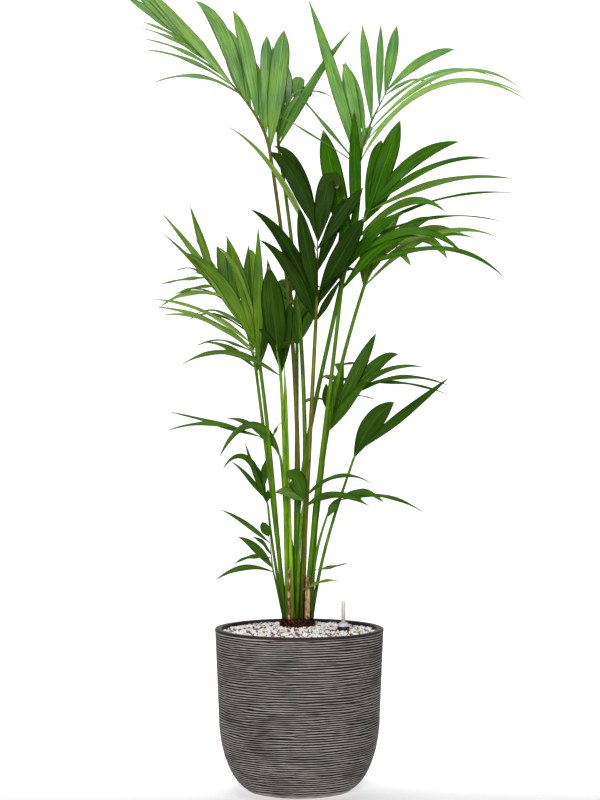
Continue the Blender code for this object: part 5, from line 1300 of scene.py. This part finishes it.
def husk_surface(name):
    """A dry brown with dark spots, streaked along the sheath."""
    surface, tree, shader = nodes_of(name, HUSK_STOPS[1][1], 0.8, 0.25)
    streaks = pattern(tree, 260.0, 4.0, (1.0, 1.0, 0.06))
    spots = ramp(tree, pattern(tree, 60.0, 4.0), [(0.42, (0.30, 0.22, 0.15)), (0.56, WHITE)])
    shade = blend_colours(tree, 1.0, ramp(tree, streaks, HUSK_STOPS), spots, "MULTIPLY")
    tree.links.new(shade, shader.inputs["Base Color"])
    bump(tree, shader, streaks, 0.6, 0.0010)
    return surface


def add_husk(heap, points, radii, dice):
    """A dry sheath: ridged, with a torn top that rises and falls round it."""
    phase = dice.random() * 6
    points = np.array([tuple(p) for p in points], float)
    angles = all_round(HUSK_SIDES)
    torn = 0.5 + 0.5 * np.sin(3 * angles + phase) * np.cos(7 * angles + 2 * phase)
    drop = HUSK_TEAR * torn * float(np.linalg.norm(points[-1] - points[0]))
    t = np.linspace(0, 1, len(points))[:, None]
    broad = 0.10 * np.cos(4 * angles + phase) * np.cos(2 * angles + 3 * t)
    reach = np.asarray(radii, float)[:, None] * (1 + broad + 0.05 * np.sin(11 * angles + phase))
    rings = swept_rings(points, angles, reach)
    rings[..., 2] -= t * drop[None, :] * t
    add_rings(heap, rings, [points[0], points[-1] - (0.0, 0.0, float(drop.max()))])


def build_stems():
    """The dry sheaths, the furled spear and the short inner stalks."""
    for stem in STEMS:
        dice = random.Random(len(stem.name) * 7)
        heap = Heap()
        points, radii = stem_points(stem, STEM_RINGS), stem_radii(stem, STEM_RINGS)
        if stem.name.startswith("old_"):
            add_husk(heap, points, radii, dice)
            surface, slot = husk_surface(stem.name + " husk"), "dry_sheath"
        else:
            left = [(STEM_RINGS - i + 0.4) / (STEM_POINT + 0.4) for i in range(STEM_RINGS + 1)]
            radii = [r * min(1, share) for r, share in zip(radii, left)]
            add_tube(heap, points, radii, STALK_SIDES, 0, lambda a, t: 1 + 0.06 * np.cos(3 * a + 5 * t))
            # The inner stalks' dark greens are painted shade, the spear's pale green a painted highlight
            surface = stalk_surface(stem.name + " green", STALK_COLOURS_WITH_PAINTED_LIGHT[stem.name])
            slot = "spear" if stem.name == "spear" else "stalk"
        place("fine_" + stem.name, heap.mesh("fine_" + stem.name, [surface]), [stem.name], slot)


def gauge_surface(look):
    colour, roughness, specular, scale, stops, alpha = GAUGE_LOOKS[look]
    return speckled(look, colour, roughness, specular, (scale, 3.0), stops, None, alpha)


def turn_piece(name, look, profile, sides, node, slot):
    """A piece of the gauge: profile, as (radius, height), turned about the gauge's axis."""
    heap = Heap()
    rings = [circle(all_round(sides), max(r, GAUGE_AXIS), z, GAUGE_AT) for r, z in profile]
    heap.add(np.concatenate(rings), ring_quads(len(rings), sides))
    place(name, heap.mesh(name, [gauge_surface(look)]), [node], slot)


def build_gauge():
    """The water gauge: its base, its dome, its tube with the float inside, and two marks on the tube."""
    foot, seat = GAUGE_FOOT, GAUGE_FOOT + 0.0150
    edge, neck = GAUGE_BASE_RADIUS, 0.0149
    base = [(0.0, foot), (0.0148, foot), (edge, foot + 0.0006), (edge, foot + 0.0060), (neck, foot + 0.0066),
            (neck, foot + 0.0080), (edge, foot + 0.0086), (edge, seat - 0.0006), (neck, seat), (0.0, seat)]
    turn_piece("gauge_foot", "gauge dark", base, 48, "gauge_base", "gauge_dark")
    low, top = seat + 0.0004, seat + 0.0110
    dome = [(0.0, low), (0.0145, low)]
    for i in range(13):
        a = math.pi / 2 * i / 12
        dome.append((0.0060 + 0.0085 * math.cos(a), low + 0.0106 * math.sin(a)))
    turn_piece("gauge_bell", "gauge clear", dome + [(0.0, top)], 48, "gauge_dome", "gauge_clear")
    begin, end = top + FIT, top + 0.0532
    tube = [(0.0041, begin), (0.0054, begin), (0.0054, end - 0.0020), (0.0050, end - 0.0008), (0.0042, end),
            (0.0, end), (0.0, end - 0.0012), (0.0040, end - 0.0014), (0.0041, end - 0.003), (0.0041, begin)]
    turn_piece("gauge_glass", "gauge tube pale", tube, 40, "gauge_tube", "gauge_clear")
    bead = [(0.0, begin), (0.0028, begin), (0.0034, begin + 0.0006), (0.0034, begin + 0.0034), (0.0028, begin + 0.0040),
            (0.0, begin + 0.0040)]
    turn_piece("gauge_bead", "float red", bead, 32, "gauge_float", "gauge_red")
    amber = gauge_surface("gauge mark")
    for n, height in enumerate(MARK_HEIGHTS):
        heap = Heap()
        turn = np.linspace(-MARK_HALF_TURN, MARK_HALF_TURN, 9) - math.pi / 2
        inner, outer = MARK_RADII
        corners = [(inner, height), (outer, height), (outer, height + MARK_HEIGHT), (inner, height + MARK_HEIGHT)]
        bars = np.stack([circle(turn, r, z, GAUGE_AT) for r, z in corners], axis=1).reshape(-1, 3)
        heap.add(bars, np.concatenate([ring_quads(9, 4), [[0, 1, 2, 3], [35, 34, 33, 32]]]))
        place(f"gauge_mark_{n}", heap.mesh(f"gauge_mark_{n}", [amber], False), (), "gauge_red")


def eased(tree, value, limits):
    """value carried from the span of the first two limits to that of the last two."""
    names = ("From_Min", "From_Max", "To_Min", "To_Max")
    return new_node(tree, "MapRange", Value=value, **dict(zip(names, limits))).outputs["Result"]


def worked(tree, operation, *values):
    node = new_node(tree, "Math")
    node.operation = operation
    for socket, value in zip(node.inputs, values):
        feed(tree, socket, value)
    return node.outputs[0]


def floor_surface():
    """A pale floor that glows behind the object and for some way to both sides, more widely further back."""
    surface, tree, shader = nodes_of("studio floor", (0.72, 0.72, 0.72), 0.9, 0.1)
    shader.inputs["Emission Color"].default_value = (1.0, 1.0, 1.0, 1.0)
    aside, back, _ = parts_of(tree, object_place(tree))
    spread = eased(tree, back, (*SPREAD_DEPTH, 1.0, SPREAD_SHARE))
    share = worked(tree, "DIVIDE", worked(tree, "ABSOLUTE", aside), spread)
    glow, fade = eased(tree, back, (*GLOW_DEPTH, 0.0, STAGE_GLOW)), eased(tree, share, (*GLOW_WIDTH, 1.0, 0.0))
    tree.links.new(worked(tree, "MULTIPLY", glow, fade), shader.inputs["Emission Strength"])
    return surface


def build_stage():
    """A pale floor that curves up behind the object, soft light all round and the photograph's view."""
    flat = STAGE_FAR - STAGE_RISE
    path = [(STAGE_NEAR, 0.0), (flat, 0.0)]
    bow = np.linspace(0.15, 1.57, 12)
    path += [(flat + STAGE_RISE * math.sin(a), STAGE_RISE - STAGE_RISE * math.cos(a)) for a in bow]
    path += [(STAGE_FAR, STAGE_TOP)]
    n = len(path)
    heap = Heap()
    heap.add([(x, y, z) for x in (-STAGE_SIDE, STAGE_SIDE) for y, z in path],
             [(i, i + n, i + n + 1, i + 1) for i in range(n - 1)])
    scene = bpy.context.scene
    floor = bpy.data.objects.new("studio_floor", heap.mesh("studio_floor", [floor_surface()]))
    scene.collection.objects.link(floor)
    world = bpy.data.worlds.new("studio")
    scene.world = world
    world.use_nodes = True
    world.node_tree.nodes["Background"].inputs[0].default_value = (1.0, 1.0, 1.0, 1.0)
    world.node_tree.nodes["Background"].inputs[1].default_value = SKY_LIGHT
    for name, (where, size, power) in LIGHTS.items():
        data = bpy.data.lights.new(name, "AREA")
        data.shape = "DISK"
        data.size = size
        data.energy = power
        lamp = bpy.data.objects.new(name, data)
        lamp.location = where
        lamp.rotation_euler = (Vector(LIGHTS_AIM) - Vector(where)).to_track_quat("-Z", "Y").to_euler()
        scene.collection.objects.link(lamp)
    data = bpy.data.cameras.new("view")
    data.sensor_width = 36.0
    data.lens = CAMERA_LENS
    camera = bpy.data.objects.new("view", data)
    camera.location = CAMERA_AT
    camera.rotation_euler = (math.pi / 2, 0.0, 0.0)
    scene.collection.objects.link(camera)
    scene.camera = camera
    scene.view_settings.view_transform = "Standard"


print("leaflets", grow_fine_fronds())
build_pot()
print("granules", build_granules())
build_crown()
build_stems()
build_gauge()
build_stage()
